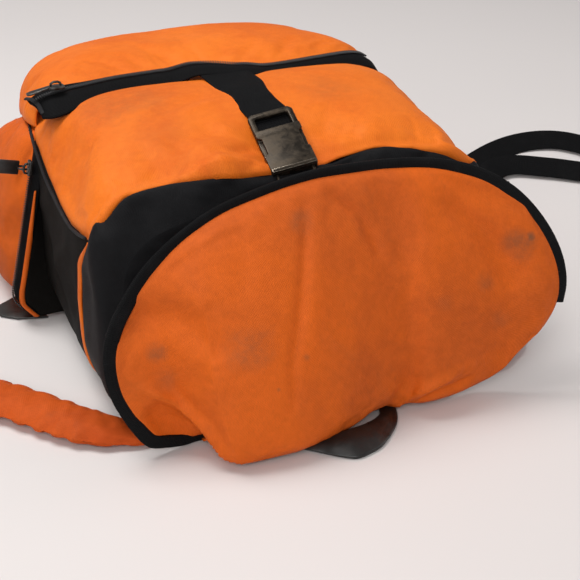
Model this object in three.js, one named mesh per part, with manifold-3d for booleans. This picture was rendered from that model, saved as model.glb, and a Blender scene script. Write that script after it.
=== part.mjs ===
// Travel backpack, lying on its back panel with the lid end towards -Y.
// Millimetres, +X across the bag, +Y from the lid to the base, +Z out of the bag's front.
import * as THREE from 'three';
import { mergeVertices } from 'three/addons/utils/BufferGeometryUtils.js';
import Module from 'manifold-3d';

// ---------- driving dimensions ----------
const WALL = 3;                   // fabric, foam and lining of the body together
const GAP = 0.3;                  // left between pieces that touch
const BODY_LENGTH = 397;
const HALF_WIDTH = 152;
const BELT_HEIGHT = 85;           // height at which the body is widest
const ORIGIN_Y = 200;             // the frame's origin is the middle of the back panel
const RING_STEPS = 44;
const BACK_SQUARE = 7;            // exponent that squares the corners beside the back panel

const BINDING_RADIUS = 4.2;
const PIPING_RADIUS = 2.6;
const FRONT_STRAP_WIDTH = 29;
const WEBBING_WIDTH = 25;
const WEBBING_THICKNESS = 1.8;
const PAD_THICKNESS = 12;

const BUCKLE_WIDTH = 34;
const BUCKLE_LENGTH = 58;
const COVER_LENGTH = 40;
const BUCKLE_CENTRE = [-2, 85, 184];
const BUCKLE_PITCH = 26;
const BUCKLE_ROLL = -9.5;
const BUCKLE_YAW = -5;

// Stations of the body's outer skin: y at the floor, lean in y per mm of height, half width,
// bottom and top height, and the exponent that squares the upper corners.
const BODY_STATIONS = [
  { y: 36, lean: 0.2, half: 92, low: 46, high: 122, square: 2.4 },
  { y: 22, lean: 0.2, half: 128, low: 14, high: 144, square: 3.2 },
  { y: 30, lean: 0.2, half: 145, low: -1, high: 156, square: 3.8 },
  { y: 66, lean: 0.05, half: HALF_WIDTH - 1, low: -1, high: 166, square: 4.8 },
  { y: 108, lean: 0, half: HALF_WIDTH + 1, low: -1, high: 183, square: 4.2 },
  { y: 165, lean: 0, half: HALF_WIDTH, low: -1, high: 189, square: 4.5 },
  { y: 200, lean: 0, half: HALF_WIDTH - 1, low: -1, high: 186, square: 6 },
  { y: 235, lean: 0, half: HALF_WIDTH - 2, low: -1, high: 176, square: 6 },
  { y: 300, lean: 0, half: HALF_WIDTH - 6, low: -1, high: 166, square: 4 },
  { y: 360, lean: 0, half: HALF_WIDTH - 14, low: -1, high: 152, square: 3.4 },
  { y: 386, lean: 0, half: HALF_WIDTH - 26, low: 6, high: 134, square: 3 },
  { y: BODY_LENGTH, lean: 0, half: 92, low: 36, high: 104, square: 2.6 },
];

// Seams in the side view, as [y, z]: collar to front panel, and piping to side gusset.
const COLLAR_SEAM = [
  [88, -12], [91, 22], [94, 50], [93, 80], [86, 110], [68, 138], [60, 160], [62, 205],
];
const PIPING_SEAM = [
  [68, 138], [114, 131], [150, 133], [190, 138], [225, 147], [260, 148], [320, 138], [384, 112],
];
const PIPING_ROUTE = [[72, 138], [90, 133.5], ...PIPING_SEAM.slice(2, -1), [374, 116]];
const STRIPE_WIDTH = 8;
const BACK_SEAM_Z = 8;
const BASE_SEAM_Y = 384;

const EYELET_SPACING = 60;
const EYELET_Y = 54;
const EYELET_Z = 133;
const EYELET_TILT = 11;
const EYELET_RADIUS = 6.5;
const EYELET_HOLE = 3.2;
const EYELET_DEPTH = 3.4;           // from its middle to either face

// The front pocket's skin, in the same terms as the body's. Its zip band lies along its front.
const POCKET_STATIONS = [
  { y: 212, lean: 0, half: 147, high: 186, square: 7 },
  { y: 240, lean: 0, half: 150, high: 193, square: 6.5 },
  { y: 300, lean: 0, half: 147, high: 193, square: 5 },
  { y: 350, lean: 0, half: 139, high: 185, square: 4.4 },
  { y: 380, lean: 0, half: 126, high: 168, square: 4 },
  { y: 394, lean: 0, half: 108, high: 146, square: 3.6 },
];
const ZIP_Y = 224;
const ZIP_DEPTH = 30;
const ZIP_Z = 189.5;
const ZIP_LEFT = -139;
const ZIP_RIGHT = 131;
const ZIP_DROP = 4;

// A side pocket's skin: y, how far out it stands, and its lowest and highest point.
const SIDE_POCKET_STATIONS = [
  { y: 238.5, out: 161, low: 14, high: 136 },
  { y: 262, out: 175, low: 3, high: 141 },
  { y: 320, out: 178, low: 2, high: 131 },
  { y: 365, out: 169, low: 5, high: 112 },
  { y: 391, out: 148, low: 26, high: 94 },
];
const SIDE_POCKET_CORE = 126;
const SIDE_POCKET_STEPS = 24;
const SIDE_POCKET_SAG = 0.16;       // mm further out for each mm lower, as the pocket bellies
const SIDE_POCKET_MIDDLE = 72;
const SIDE_ZIP_Y = 226;
const SIDE_ZIP_TOP = [151, 140];    // as [x, z] on the right side; the zip runs straight to its foot
const SIDE_ZIP_FOOT = [176.5, 28];
const SIDE_SLIDER_DOWN = 9;         // from the zip's top to the middle of its slider

// Routes of the soft straps, lying on the floor, as [x, y, z] for the left or the right.
const PAD_ROUTE_LEFT = [
  [-98, 14, 2], [-126, 15.5, 2.2], [-152, 28, 5], [-171, 49, 7],
  [-196, 82, 7], [-219, 109, 7], [-262, 158, 7], [-305, 205, 6.5],
];
const PAD_ROUTE_RIGHT = [
  [98, 13, 2], [126, 13, 2.2], [155, 28, 5], [180, 68, 7],
  [207, 130, 7], [246, 194, 7], [281, 254, 7], [306, 304, 6.5],
];
const WEBBING_ROUTE_LEFT = [
  [-315, 217, 2], [-334, 246, 2], [-326, 282, 2],
  [-285, 286, 2], [-240, 264, 2], [-200, 248, 3.4],
];
const WEBBING_ROUTE_RIGHT = [
  [312.5, 317, 2], [328, 343, 2], [356, 349, 2], [388, 328, 2], [428, 300, 2], [460, 314, 2],
  [456, 360, 2], [428, 398, 2], [376, 402, 2], [300, 362, 2], [240, 300, 2], [200, 254, 3.4],
];
const PAD_WIDTH = 40;
const ANCHOR_TAB = [[155, 212], [187, 236], [189, 256], [160, 276]];

const HANDLE_ENDS = [[-38, -23, 3], [48, -6, 3]];
const HANDLE_REACH = 34;
const HANDLE_RISE = 5;
const HANDLE_WIDTH = 20;
const SIDE_RING = [
  [0, -2.6, 3.8], [0, -3.6, 6.5], [0, -2.8, 9.4], [0, 0, 10.4],
  [0, 2.8, 9.4], [0, 3.6, 6.5], [0, 2.6, 3.8],
];
const PULL_PIVOT = 3.8;             // height of a side pull's pivot above its slider's base
const RIGHT_PULL_HANG = 62;
const ADJUSTER_Z = 5.4;
const ADJUSTER_BEYOND_PAD = 12.5;
const STRAP_BELOW_BUCKLE = -5.2;
const LOOP_AXIS_Y = 53;
const LOOP_AXIS_Z = 160;

// The lid's edge as a closed loop, anticlockwise seen from the front: the bound edge from the
// left floor corner over the top to the right, then the free fabric edge along the floor.
const LID_BOUND_EDGE = [
  [-118, 4, 8.5], [-133, 3, 15], [-149, 11, 44], [-153, 16, 68], [-149, 21, 88], [-136, 27, 108],
  [-116, 33, 129], [-87, 37, 148], [-57, 40, 160], [-5, 43, 170], [40, 42, 172], [84, 38, 170],
  [120, 30, 162], [148, 19, 146], [167, 7, 123], [177, -4, 98], [178, -10, 74], [170, -11, 53],
  [155, -11, 38],
];
const LID_FLOOR_EDGE = [
  [132, -10, 20], [108, -8, 12], [64, -12, 9], [20, -20, 9], [-36, -31, 9], [-72, -31, 8],
  [-94, -4, 7],
];
const LID_CENTRE = [10, 22, 86];    // on the plane of the edge; the panel bulges out from it
const LID_OVAL = [163, 82];         // half sizes of the rounded outline its inner rings tend to
const LID_BULGE = 24;
const LID_THICKNESS = 2.4;
const LID_STEPS = 56;
const LID_RINGS = 6;

// ---------- small tools ----------
const rad = THREE.MathUtils.degToRad;
const wasm = await Module();
wasm.setup();

const finish = (name, color, roughness) => new THREE.MeshStandardMaterial({ name, color, roughness });
const orange = finish('orange_nylon', 0xd9691e, 0.7);
const orangePad = finish('orange_nylon_pad', 0xc65a1a, 0.75);
const foamGrey = finish('grey_foam', 0x6e6e70, 0.9);
const black = finish('black_nylon', 0x17171a, 0.8);
const coated = finish('black_coated', 0x1b1b1e, 0.5);
const webbing = finish('black_webbing', 0x121214, 0.85);
const leather = finish('black_leather', 0x161312, 0.45);
const plastic = finish('black_plastic', 0x0e0e10, 0.4);
const gunmetal = finish('antique_metal', 0x6b5d4a, 0.45);
gunmetal.metalness = 1;

const root = new THREE.Group();
root.position.y = -ORIGIN_Y;

function add(parent, name, geometry, material) {
  const mesh = new THREE.Mesh(geometry, material);
  mesh.name = name;
  parent.add(mesh);
  return mesh;
}

const vector = ([x, y, z]) => new THREE.Vector3(x, y, z);

function toManifold(geometry) {
  const bare = geometry.clone();
  bare.deleteAttribute('normal');
  bare.deleteAttribute('uv');
  const merged = mergeVertices(bare, 1e-4);
  return new wasm.Manifold(new wasm.Mesh({
    numProp: 3,
    vertProperties: new Float32Array(merged.attributes.position.array),
    triVerts: new Uint32Array(merged.index.array),
  }));
}

function toGeometry(manifold) {
  const mesh = manifold.getMesh();
  const geometry = new THREE.BufferGeometry();
  geometry.setAttribute('position', new THREE.BufferAttribute(new Float32Array(mesh.vertProperties), 3));
  geometry.setIndex(new THREE.BufferAttribute(new Uint32Array(mesh.triVerts), 1));
  return geometry;
}

// A closed skin through rings of the same number of points. Each ring runs anticlockwise seen
// from the side that the first ring faces.
function loft(rings) {
  const count = rings[0].length;
  const positions = [];
  const index = [];
  rings.forEach((ring) => ring.forEach((p) => positions.push(p.x, p.y, p.z)));
  for (let r = 0; r + 1 < rings.length; r += 1) {
    for (let i = 0; i < count; i += 1) {
      const a = r * count + i;
      const b = r * count + ((i + 1) % count);
      index.push(a, a + count, b, b, a + count, b + count);
    }
  }
  [rings[0], rings[rings.length - 1]].forEach((ring, end) => {
    const centre = ring.reduce((sum, p) => sum.add(p), new THREE.Vector3()).divideScalar(count);
    const hub = positions.length / 3;
    const start = end * (rings.length - 1) * count;
    positions.push(centre.x, centre.y, centre.z);
    for (let i = 0; i < count; i += 1) {
      const a = start + i;
      const b = start + ((i + 1) % count);
      index.push(...(end ? [hub, b, a] : [hub, a, b]));
    }
  });
  const geometry = new THREE.BufferGeometry();
  geometry.setAttribute('position', new THREE.Float32BufferAttribute(positions, 3));
  geometry.setIndex(index);
  return geometry;
}

// A prism whose outline is drawn in the side view as [y, z] and that runs from x0 to x1.
function sidePrism(outline, x0, x1) {
  const shape = new THREE.Shape(outline.map(([y, z]) => new THREE.Vector2(y, z)));
  const geometry = new THREE.ExtrudeGeometry(shape, { depth: x1 - x0, bevelEnabled: false });
  const toWorld = new THREE.Matrix4().makeBasis(
    new THREE.Vector3(0, 1, 0), new THREE.Vector3(0, 0, 1), new THREE.Vector3(1, 0, 0));
  return geometry.applyMatrix4(toWorld).translate(x0, 0, 0);
}

function slab(x0, x1, y0, y1, z0, z1) {
  const box = new THREE.BoxGeometry(x1 - x0, y1 - y0, z1 - z0);
  return box.translate((x0 + x1) / 2, (y0 + y1) / 2, (z0 + z1) / 2);
}

function tube(points, radius, sides = 8, steps = points.length * 2) {
  const shape = new THREE.Shape();
  for (let i = 0; i < sides; i += 1) {
    const turn = (i / sides) * Math.PI * 2;
    shape[i ? 'lineTo' : 'moveTo'](radius * Math.cos(turn), radius * Math.sin(turn));
  }
  const extrudePath = new THREE.CatmullRomCurve3(points.map(vector));
  return new THREE.ExtrudeGeometry(shape, { steps, extrudePath, bevelEnabled: false });
}

// A flat strap along a route, with an eight-sided flattened section. "across" gives the direction
// of its width at t from 0 to 1; without it the width lies level. "scale" gives factors on the
// width and the thickness at t.
function strap(points, width, thickness, { across, scale = () => [1, 1], steps = points.length * 3 } = {}) {
  const route = new THREE.CatmullRomCurve3(points.map(vector));
  const up = new THREE.Vector3(0, 0, 1);
  const section = [
    [-1, -0.25], [-0.8, -0.5], [0.8, -0.5], [1, -0.25], [1, 0.25], [0.8, 0.5], [-0.8, 0.5], [-1, 0.25],
  ];
  const rings = [];
  for (let s = 0; s <= steps; s += 1) {
    const t = s / steps;
    const at = route.getPoint(t);
    const along = route.getTangent(t);
    const side = across ? vector(across(t)).projectOnPlane(along) : along.clone().cross(up);
    const normal = side.normalize().clone().cross(along).normalize();
    const [wide, thick] = scale(t);
    rings.push(section.map(([u, v]) => at.clone()
      .addScaledVector(side, (u * wide * width) / 2)
      .addScaledVector(normal, v * thick * thickness)));
  }
  return loft(rings);
}

// ---------- body ----------
function bodyRing(station, inset) {
  const ring = [];
  for (let i = 0; i < RING_STEPS; i += 1) {
    const turn = (i / RING_STEPS) * Math.PI * 2;
    const c = Math.cos(turn);
    const s = Math.sin(turn);
    const power = s > 0 ? station.square : BACK_SQUARE;
    const reach = s > 0 ? station.high - inset - BELT_HEIGHT : BELT_HEIGHT - station.low - inset;
    const x = (station.half - inset) * Math.sign(c) * Math.abs(c) ** (2 / power);
    const z = BELT_HEIGHT + reach * Math.sign(s) * Math.abs(s) ** (2 / power);
    ring.push(new THREE.Vector3(x, station.y + station.lean * z, z));
  }
  return ring;
}

function bodyOuter(inflate = 0) {
  return toManifold(loft(BODY_STATIONS.map((station) => bodyRing(station, -inflate))));
}

function bodyInner() {
  const rings = BODY_STATIONS.map((station, i) => {
    const shift = i < 2 ? WALL + 1 : 0;
    const last = i === BODY_STATIONS.length - 1 ? WALL : 0;
    return bodyRing({ ...station, y: station.y + shift - last, low: Math.max(station.low, -1) + 1 }, WALL);
  });
  const neck = bodyRing({ ...BODY_STATIONS[0], y: -60, lean: 0 }, WALL);
  return toManifold(loft([neck, ...rings]));
}

const above = toManifold(slab(-300, 300, -100, 500, 0, 300));
const bodySolid = bodyOuter();
const shell = bodySolid.subtract(bodyInner()).intersect(above);

const shiftY = (outline, by) => outline.map(([y, z]) => [y + by, z]);
const shiftZ = (outline, by) => outline.map(([y, z]) => [y, z + by]);
const cut = (outline, x0 = -250, x1 = 250) => shell.intersect(toManifold(sidePrism(outline, x0, x1)));
const seamAbove = (seam, z) => seam.filter((point) => point[1] > z);
const seamBelow = (seam, z) => seam.filter((point) => point[1] < z);

const COLLAR_BACK_Y = 40;         // where the back panel takes over from the collar
const stripeBack = shiftY(seamBelow(COLLAR_SEAM, 120), STRIPE_WIDTH);
const pipingTop = shiftZ(PIPING_SEAM, GAP / 2);
const pipingUnder = shiftZ(PIPING_SEAM, -GAP / 2);

const collarOutline = [
  [-60, -20], [COLLAR_BACK_Y - GAP, -20], [COLLAR_BACK_Y - GAP, BACK_SEAM_Z + GAP],
  [88 - GAP, BACK_SEAM_Z + GAP], ...shiftY(seamAbove(COLLAR_SEAM, BACK_SEAM_Z), -GAP), [-60, 205],
];
const frontOutline = [...pipingTop, [BASE_SEAM_Y, 205], ...seamAbove(COLLAR_SEAM, 150).reverse()];
const stripeOutline = [
  [88, BACK_SEAM_Z + GAP], [88 + STRIPE_WIDTH, BACK_SEAM_Z + GAP],
  ...stripeBack.filter((point) => point[1] > BACK_SEAM_Z), ...pipingUnder.slice(0, 2).reverse(),
  ...seamBelow(seamAbove(COLLAR_SEAM, BACK_SEAM_Z), 130).reverse(),
];
const gussetOutline = [
  [88 + STRIPE_WIDTH + GAP, BACK_SEAM_Z + GAP], [BASE_SEAM_Y, BACK_SEAM_Z + GAP],
  ...pipingUnder.slice(1).reverse(),
  ...shiftY(stripeBack.filter((point) => point[1] > BACK_SEAM_Z), GAP).reverse(),
];
const backOutline = [
  [COLLAR_BACK_Y, -20], [BASE_SEAM_Y, -20], [BASE_SEAM_Y, BACK_SEAM_Z], [COLLAR_BACK_Y, BACK_SEAM_Z],
];
const baseOutline = [
  [BASE_SEAM_Y + GAP, -20], [450, -20], [450, 205], [BASE_SEAM_Y + GAP, 205],
];

let collar = cut(collarOutline);
add(root, 'front_panel', toGeometry(cut(frontOutline)), orange);
for (const [name, from, to] of [['left', -250, 0], ['right', 0, 250]]) {
  add(root, `side_stripe_${name}`, toGeometry(cut(stripeOutline, from, to)), orange);
  add(root, `side_gusset_${name}`, toGeometry(cut(gussetOutline, from, to)), coated);
}
add(root, 'back_panel', toGeometry(cut(backOutline)), black);
add(root, 'base_panel', toGeometry(cut(baseOutline)), coated);

// Foam sheet behind the back panel, inside the bag.
add(root, 'back_foam', slab(-98, 98, 98, 340, WALL + 1.4, WALL + 8), foamGrey);

// Two drawstring eyelets through the collar's front face, above the mouth.
const EYELET_SIDES = 20;
const eyeletProfile = [
  [EYELET_HOLE, -EYELET_DEPTH], [EYELET_RADIUS, -EYELET_DEPTH], [EYELET_RADIUS, EYELET_DEPTH],
  [EYELET_HOLE, EYELET_DEPTH], [EYELET_HOLE, -EYELET_DEPTH],
].map(([x, y]) => new THREE.Vector2(x, y));
for (const side of [-1, 1]) {
  const place = (geometry) => geometry.rotateX(rad(EYELET_TILT))
    .translate((side * EYELET_SPACING) / 2, EYELET_Y, EYELET_Z);
  const radius = EYELET_RADIUS + GAP;
  collar = collar.subtract(toManifold(place(new THREE.CylinderGeometry(radius, radius, 40, EYELET_SIDES))));
  const ring = place(new THREE.LatheGeometry(eyeletProfile, EYELET_SIDES));
  add(root, side < 0 ? 'eyelet_left' : 'eyelet_right', ring, gunmetal);
}
add(root, 'collar', toGeometry(collar), black);

// ---------- front pocket with its zip ----------
const pocketRings = (inset, low) => POCKET_STATIONS.map((station, i) => {
  const back = i === POCKET_STATIONS.length - 1 ? inset : 0;
  return bodyRing({ ...station, low, y: station.y - back }, inset);
});
const pocketFront = ZIP_Y + ZIP_DEPTH / 2 + GAP;
const pocketLow = PIPING_SEAM.slice(5).map(([y, z]) => [y, z + 7]);
const pocketRegion = [
  [pocketFront, pocketLow[0][1]], ...pocketLow, [500, 90], [500, 300], [pocketFront, 300],
];
const behindZip = toManifold(sidePrism(pocketRegion, -250, 250));
const pocketMouth = bodyRing({ ...POCKET_STATIONS[0], low: 60, y: 150 }, WALL);
const pocketInside = toManifold(loft([pocketMouth, ...pocketRings(WALL, 60)]));
const bodyClear = bodyOuter(GAP);
const pocketSolid = toManifold(loft(pocketRings(0, 40))).intersect(behindZip);
add(root, 'front_pocket', toGeometry(pocketSolid.subtract(bodyClear).subtract(pocketInside)), orange);

// The zip band lies level and turns down a little at both ends.
const zipRoute = [
  [ZIP_LEFT, ZIP_DROP], [ZIP_LEFT + 8, 1], [ZIP_LEFT + 16, 0.2], [ZIP_LEFT + 26, 0],
  [ZIP_RIGHT - 26, 0], [ZIP_RIGHT - 16, 0.2], [ZIP_RIGHT - 8, 1], [ZIP_RIGHT, ZIP_DROP],
].map(([x, drop]) => [x, ZIP_Y, ZIP_Z - drop]);
const zipAcross = { across: () => [0, 1, 0.12], steps: 14 };
add(root, 'front_zip_tape', strap(zipRoute, ZIP_DEPTH, 2.4, zipAcross), webbing);
const coilRoute = [ZIP_LEFT + 15, 0, ZIP_RIGHT - 15].map((x) => [x, ZIP_Y, ZIP_Z + 2.6]);
add(root, 'front_zip_coil', tube(coilRoute, 1, 6, 6), plastic);

// ---------- side pockets with their zips, piping and anchor tabs ----------
function sidePocketRing({ y, out, low, high }, inset, side) {
  const ring = [];
  const squared = (value) => Math.sign(value) * Math.abs(value) ** 0.7;
  for (let i = 0; i < SIDE_POCKET_STEPS; i += 1) {
    const turn = (i / SIDE_POCKET_STEPS) * Math.PI * 2;
    const z = (low + high) / 2 + ((high - low) / 2 - inset) * squared(Math.sin(turn));
    const reach = out - inset - SIDE_POCKET_CORE + SIDE_POCKET_SAG * (SIDE_POCKET_MIDDLE - z);
    const x = SIDE_POCKET_CORE + reach * squared(Math.cos(turn));
    ring.push(new THREE.Vector3(side * x, y, z));
  }
  return side > 0 ? ring : ring.reverse();
}

function sidePocket(side) {
  const outer = SIDE_POCKET_STATIONS.map((station) => sidePocketRing(station, 0, side));
  const last = SIDE_POCKET_STATIONS.length - 1;
  const inner = SIDE_POCKET_STATIONS.map((station, i) => {
    const y = station.y + (i === 0 ? WALL : 0) - (i === last ? WALL : 0);
    return sidePocketRing({ ...station, y }, WALL - 0.5, side);
  });
  return toManifold(loft(outer)).subtract(bodyClear).subtract(toManifold(loft(inner)));
}

// How far out the body's skin stands at a place on its right side.
const skin = new THREE.Mesh(loft(BODY_STATIONS.map((station) => bodyRing(station, 0))));
function skinX(y, z) {
  const inward = new THREE.Raycaster(new THREE.Vector3(400, y, z), new THREE.Vector3(-1, 0, 0));
  return inward.intersectObject(skin)[0].point.x;
}

const zipFall = new THREE.Vector2(...SIDE_ZIP_FOOT).sub(new THREE.Vector2(...SIDE_ZIP_TOP));
const sideZipLength = zipFall.length();
const zipDown = zipFall.normalize();
const sideZipPoint = (side, down, out = 0) => [
  side * (SIDE_ZIP_TOP[0] + zipDown.x * down - zipDown.y * out), SIDE_ZIP_Y,
  SIDE_ZIP_TOP[1] + zipDown.y * down + zipDown.x * out,
];
const arc = (from, to, count) => (
  Array.from({ length: count }, (_, i) => from + ((to - from) * i) / (count - 1))
);

for (const side of [-1, 1]) {
  const name = side < 0 ? 'left' : 'right';
  add(root, `side_pocket_${name}`, toGeometry(sidePocket(side)), orange);
  const tapeRoute = arc(0, sideZipLength, 3).map((down) => sideZipPoint(side, down));
  const tape = strap(tapeRoute, 18, 2, { across: () => [0, 1, 0], steps: 2 });
  add(root, `side_zip_tape_${name}`, tape, webbing);

  const beadX = (y, z) => side * (skinX(y, z) + PIPING_RADIUS - 0.3);
  const seamPoints = new THREE.SplineCurve(PIPING_ROUTE.map(([y, z]) => new THREE.Vector2(y, z)));
  const beadRoute = seamPoints.getSpacedPoints(26).map((p) => [beadX(p.x, p.y), p.x, p.y]);
  const bead = tube(beadRoute, PIPING_RADIUS, 6, 40);
  add(root, `piping_${name}`, toGeometry(toManifold(bead).subtract(bodyClear)), coated);

  const corners = ANCHOR_TAB.map(([x, y]) => new THREE.Vector2(side * x, y));
  const tab = new THREE.ExtrudeGeometry(new THREE.Shape(corners), { depth: 1.5, bevelEnabled: false });
  add(root, `anchor_tab_${name}`, tab.translate(0, 0, 0.4), leather);
}

// ---------- shoulder straps ----------
// A pad is thin and narrow where it is sewn in and swells to its full size.
const padScale = (t) => {
  const thick = t < 0.12 ? 0.22 : 0.22 + (t - 0.12) * 5;
  return [0.5 + 0.5 * Math.min(1, t / 0.3), Math.min(1, thick)];
};

// A ladder lock at the end of each pad: a frame round two slots that the webbing threads.
function adjuster() {
  const plate = toManifold(slab(-17, 17, -11, 11, -2.2, 2.2));
  const slots = [-5.2, 5.2].map((y) => toManifold(slab(-13.4, 13.4, y - 2.4, y + 2.4, -5, 5)));
  return toGeometry(slots.reduce((rest, slot) => rest.subtract(slot), plate));
}

for (const [name, route, webbingRoute] of [
  ['left', PAD_ROUTE_LEFT, WEBBING_ROUTE_LEFT], ['right', PAD_ROUTE_RIGHT, WEBBING_ROUTE_RIGHT],
]) {
  const pad = strap(route, PAD_WIDTH, PAD_THICKNESS, { scale: padScale });
  add(root, `shoulder_pad_${name}`, pad, orangePad);
  add(root, `lower_strap_${name}`, strap(webbingRoute, WEBBING_WIDTH, WEBBING_THICKNESS), webbing);

  const [end, before] = [route.at(-1), route.at(-2)].map(vector);
  const heading = end.clone().sub(before).normalize();
  const lock = add(root, `strap_adjuster_${name}`, adjuster(), plastic);
  lock.position.copy(end).addScaledVector(heading, ADJUSTER_BEYOND_PAD).setZ(ADJUSTER_Z);
  lock.rotation.z = Math.atan2(heading.y, heading.x) - Math.PI / 2;
}

// ---------- front strap and buckle ----------
const buckle = new THREE.Group();
buckle.position.set(...BUCKLE_CENTRE);
buckle.rotation.set(rad(BUCKLE_PITCH), rad(BUCKLE_ROLL), rad(BUCKLE_YAW), 'ZYX');
root.add(buckle);
buckle.updateMatrix();
const onBag = (x, y, z) => new THREE.Vector3(x, y, z).applyMatrix4(buckle.matrix).toArray();

const barEnd = BUCKLE_LENGTH / 2;
const strapRoute = [
  [0, 214, 184.6], [0, 200, 188], [0, 165, 191.4], [0, 135, 191.6],
  onBag(0, barEnd + 2, STRAP_BELOW_BUCKLE), onBag(0, 8, STRAP_BELOW_BUCKLE),
];
const frontStrap = strap(strapRoute, FRONT_STRAP_WIDTH, 1.6, {
  across: (t) => [1, -0.09 * t, 0.165 * Math.min(1, t * 1.2)],
  scale: (t) => [1.28 - 0.28 * Math.min(1, t * 1.5), 1],
  steps: 12,
});
add(root, 'front_strap', frontStrap, webbing);

const half = BUCKLE_WIDTH / 2;
const mouthY = COVER_LENGTH - barEnd;     // the cover's open end
const shoulderY = mouthY - 22;            // where the cover widens below the prongs' windows
const frameOuter = toManifold(slab(-half, half, 1, barEnd, -3.6, -0.3));
const frameSlot = toManifold(slab(-half + 4.5, half - 4.5, 6, barEnd - 4.6, -8, 8));
add(buckle, 'buckle_frame', toGeometry(frameOuter.subtract(frameSlot)), gunmetal);

const coverShape = new THREE.Shape([
  [-half, -barEnd], [half, -barEnd], [half, shoulderY], [half - 2.2, shoulderY + 3],
  [half - 2.2, mouthY], [-half + 2.2, mouthY], [-half + 2.2, shoulderY + 3], [-half, shoulderY],
].map(([x, y]) => new THREE.Vector2(x, y)));
const coverTop = toManifold(new THREE.ExtrudeGeometry(coverShape, { depth: 1.7, bevelEnabled: false }));
const coverSides = [-1, 1].map((side) => {
  const x = side * (half - 0.9);
  return toManifold(slab(x - 0.9, x + 0.9, -barEnd, shoulderY, -4.6, 0.5));
});
const coverEnd = toManifold(slab(-half, half, -barEnd, -barEnd + 1.8, -4.6, 0.5));
const cover = [...coverSides, coverEnd].reduce((whole, wall) => whole.add(wall), coverTop);
add(buckle, 'buckle_cover', toGeometry(cover), gunmetal);

// The prongs reach from the frame's lower bar into the cover, with a step outwards that the
// cover's shoulder holds.
for (const side of [-1, 1]) {
  const prong = new THREE.Shape([
    [9.5, 0.7], [13, 0.7], [half - 2.4, -2], [half - 2.4, shoulderY - 1], [half - 3.4, shoulderY - 6],
    [half - 6.5, shoulderY - 7], [half - 7, shoulderY], [half - 6.5, -4], [9.5, -2.6],
  ].map(([x, y]) => new THREE.Vector2(side * x, y)));
  const geometry = new THREE.ExtrudeGeometry(prong, { depth: 2.6, bevelEnabled: false });
  geometry.translate(0, 0, -3.2);
  add(buckle, side < 0 ? 'buckle_prong_left' : 'buckle_prong_right', geometry, gunmetal);
}

// The wire loop on the cover's end goes down behind the lid's edge, into the lid's tab.
const wire = [
  onBag(-13, -barEnd - 1.6, -2.4), onBag(-13, -barEnd - 3, -4), [-14, 55, 164],
  [-12.5, LOOP_AXIS_Y, LOOP_AXIS_Z], [0, LOOP_AXIS_Y, LOOP_AXIS_Z], [11, LOOP_AXIS_Y, LOOP_AXIS_Z],
  [13, 55, 165], onBag(13, -barEnd - 3, -4), onBag(13, -barEnd - 1.6, -2.4),
];
add(root, 'buckle_loop', tube(wire, 1.3, 8, 26), gunmetal);

// ---------- lid ----------
const lidLoop = new THREE.CatmullRomCurve3([...LID_BOUND_EDGE, ...LID_FLOOR_EDGE].map(vector), true);
const lidEdge = lidLoop.getSpacedPoints(LID_STEPS).slice(0, LID_STEPS).reverse();
const lidMiddle = vector(LID_CENTRE);

// A ring of the lid at a share of the way from its middle to its edge. Towards the middle the
// rings turn into plain ovals, so that the panel is smooth there.
function lidRing(share, offset) {
  return lidEdge.map((edge) => {
    const reach = edge.clone().sub(lidMiddle);
    const r = share * (1 - (BINDING_RADIUS + 1.8) / reach.length());
    const depth = reach.y * r * r;
    reach.setY(0);
    const oval = 1 / Math.hypot(reach.x / LID_OVAL[0], reach.z / LID_OVAL[1]);
    reach.multiplyScalar(r * THREE.MathUtils.lerp(oval, 1, r * r));
    reach.y = depth + offset - LID_BULGE * (1 - r * r);
    return lidMiddle.clone().add(reach);
  });
}

const lidShares = arc(0.16, 1, LID_RINGS);
add(root, 'lid_panel', loft([
  ...lidShares.map((share) => lidRing(share, 0)),
  ...[...lidShares].reverse().map((share) => lidRing(share, LID_THICKNESS)),
]), orange);
add(root, 'lid_binding', tube(LID_BOUND_EDGE, BINDING_RADIUS, 8, 44), coated);
const tabRoute = [[-1, 41, 140], [-1, 45, 147], [-1, 49.5, 156]];
const lidTab = strap(tabRoute, 22, 1.6, { across: () => [1, 0, 0], steps: 4 });
add(root, 'lid_tab', lidTab, webbing);

// Where the lid is sewn to the top of the back panel, behind its free edge.
add(root, 'lid_fold', slab(-92, 92, 2, 26, 4.4, 7), orange);

// ---------- grab handle ----------
const [handleLeft, handleRight] = HANDLE_ENDS.map(vector);
const handleSpan = handleRight.clone().sub(handleLeft);
const handleOut = new THREE.Vector3(handleSpan.y, -handleSpan.x, 0).normalize();
const handleRoute = arc(0, 1, 9).map((t) => {
  const rise = Math.sin(Math.PI * t);
  return handleLeft.clone().addScaledVector(handleSpan, t - 0.06 * Math.sin(2 * Math.PI * t))
    .addScaledVector(handleOut, HANDLE_REACH * rise)
    .setZ(handleLeft.z + HANDLE_RISE * rise).toArray();
});
const handleAcross = (t) => {
  const turn = Math.PI * t;
  return [Math.cos(turn), Math.sin(turn) * 0.8, 0.75 * Math.sin(turn)];
};
const handle = strap(handleRoute, HANDLE_WIDTH, 3, { across: handleAcross, steps: 16 });
add(root, 'grab_handle', handle, leather);
add(root, 'handle_base', slab(-44, 56, 0, 24, 0.4, 3.4), leather);

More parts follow.
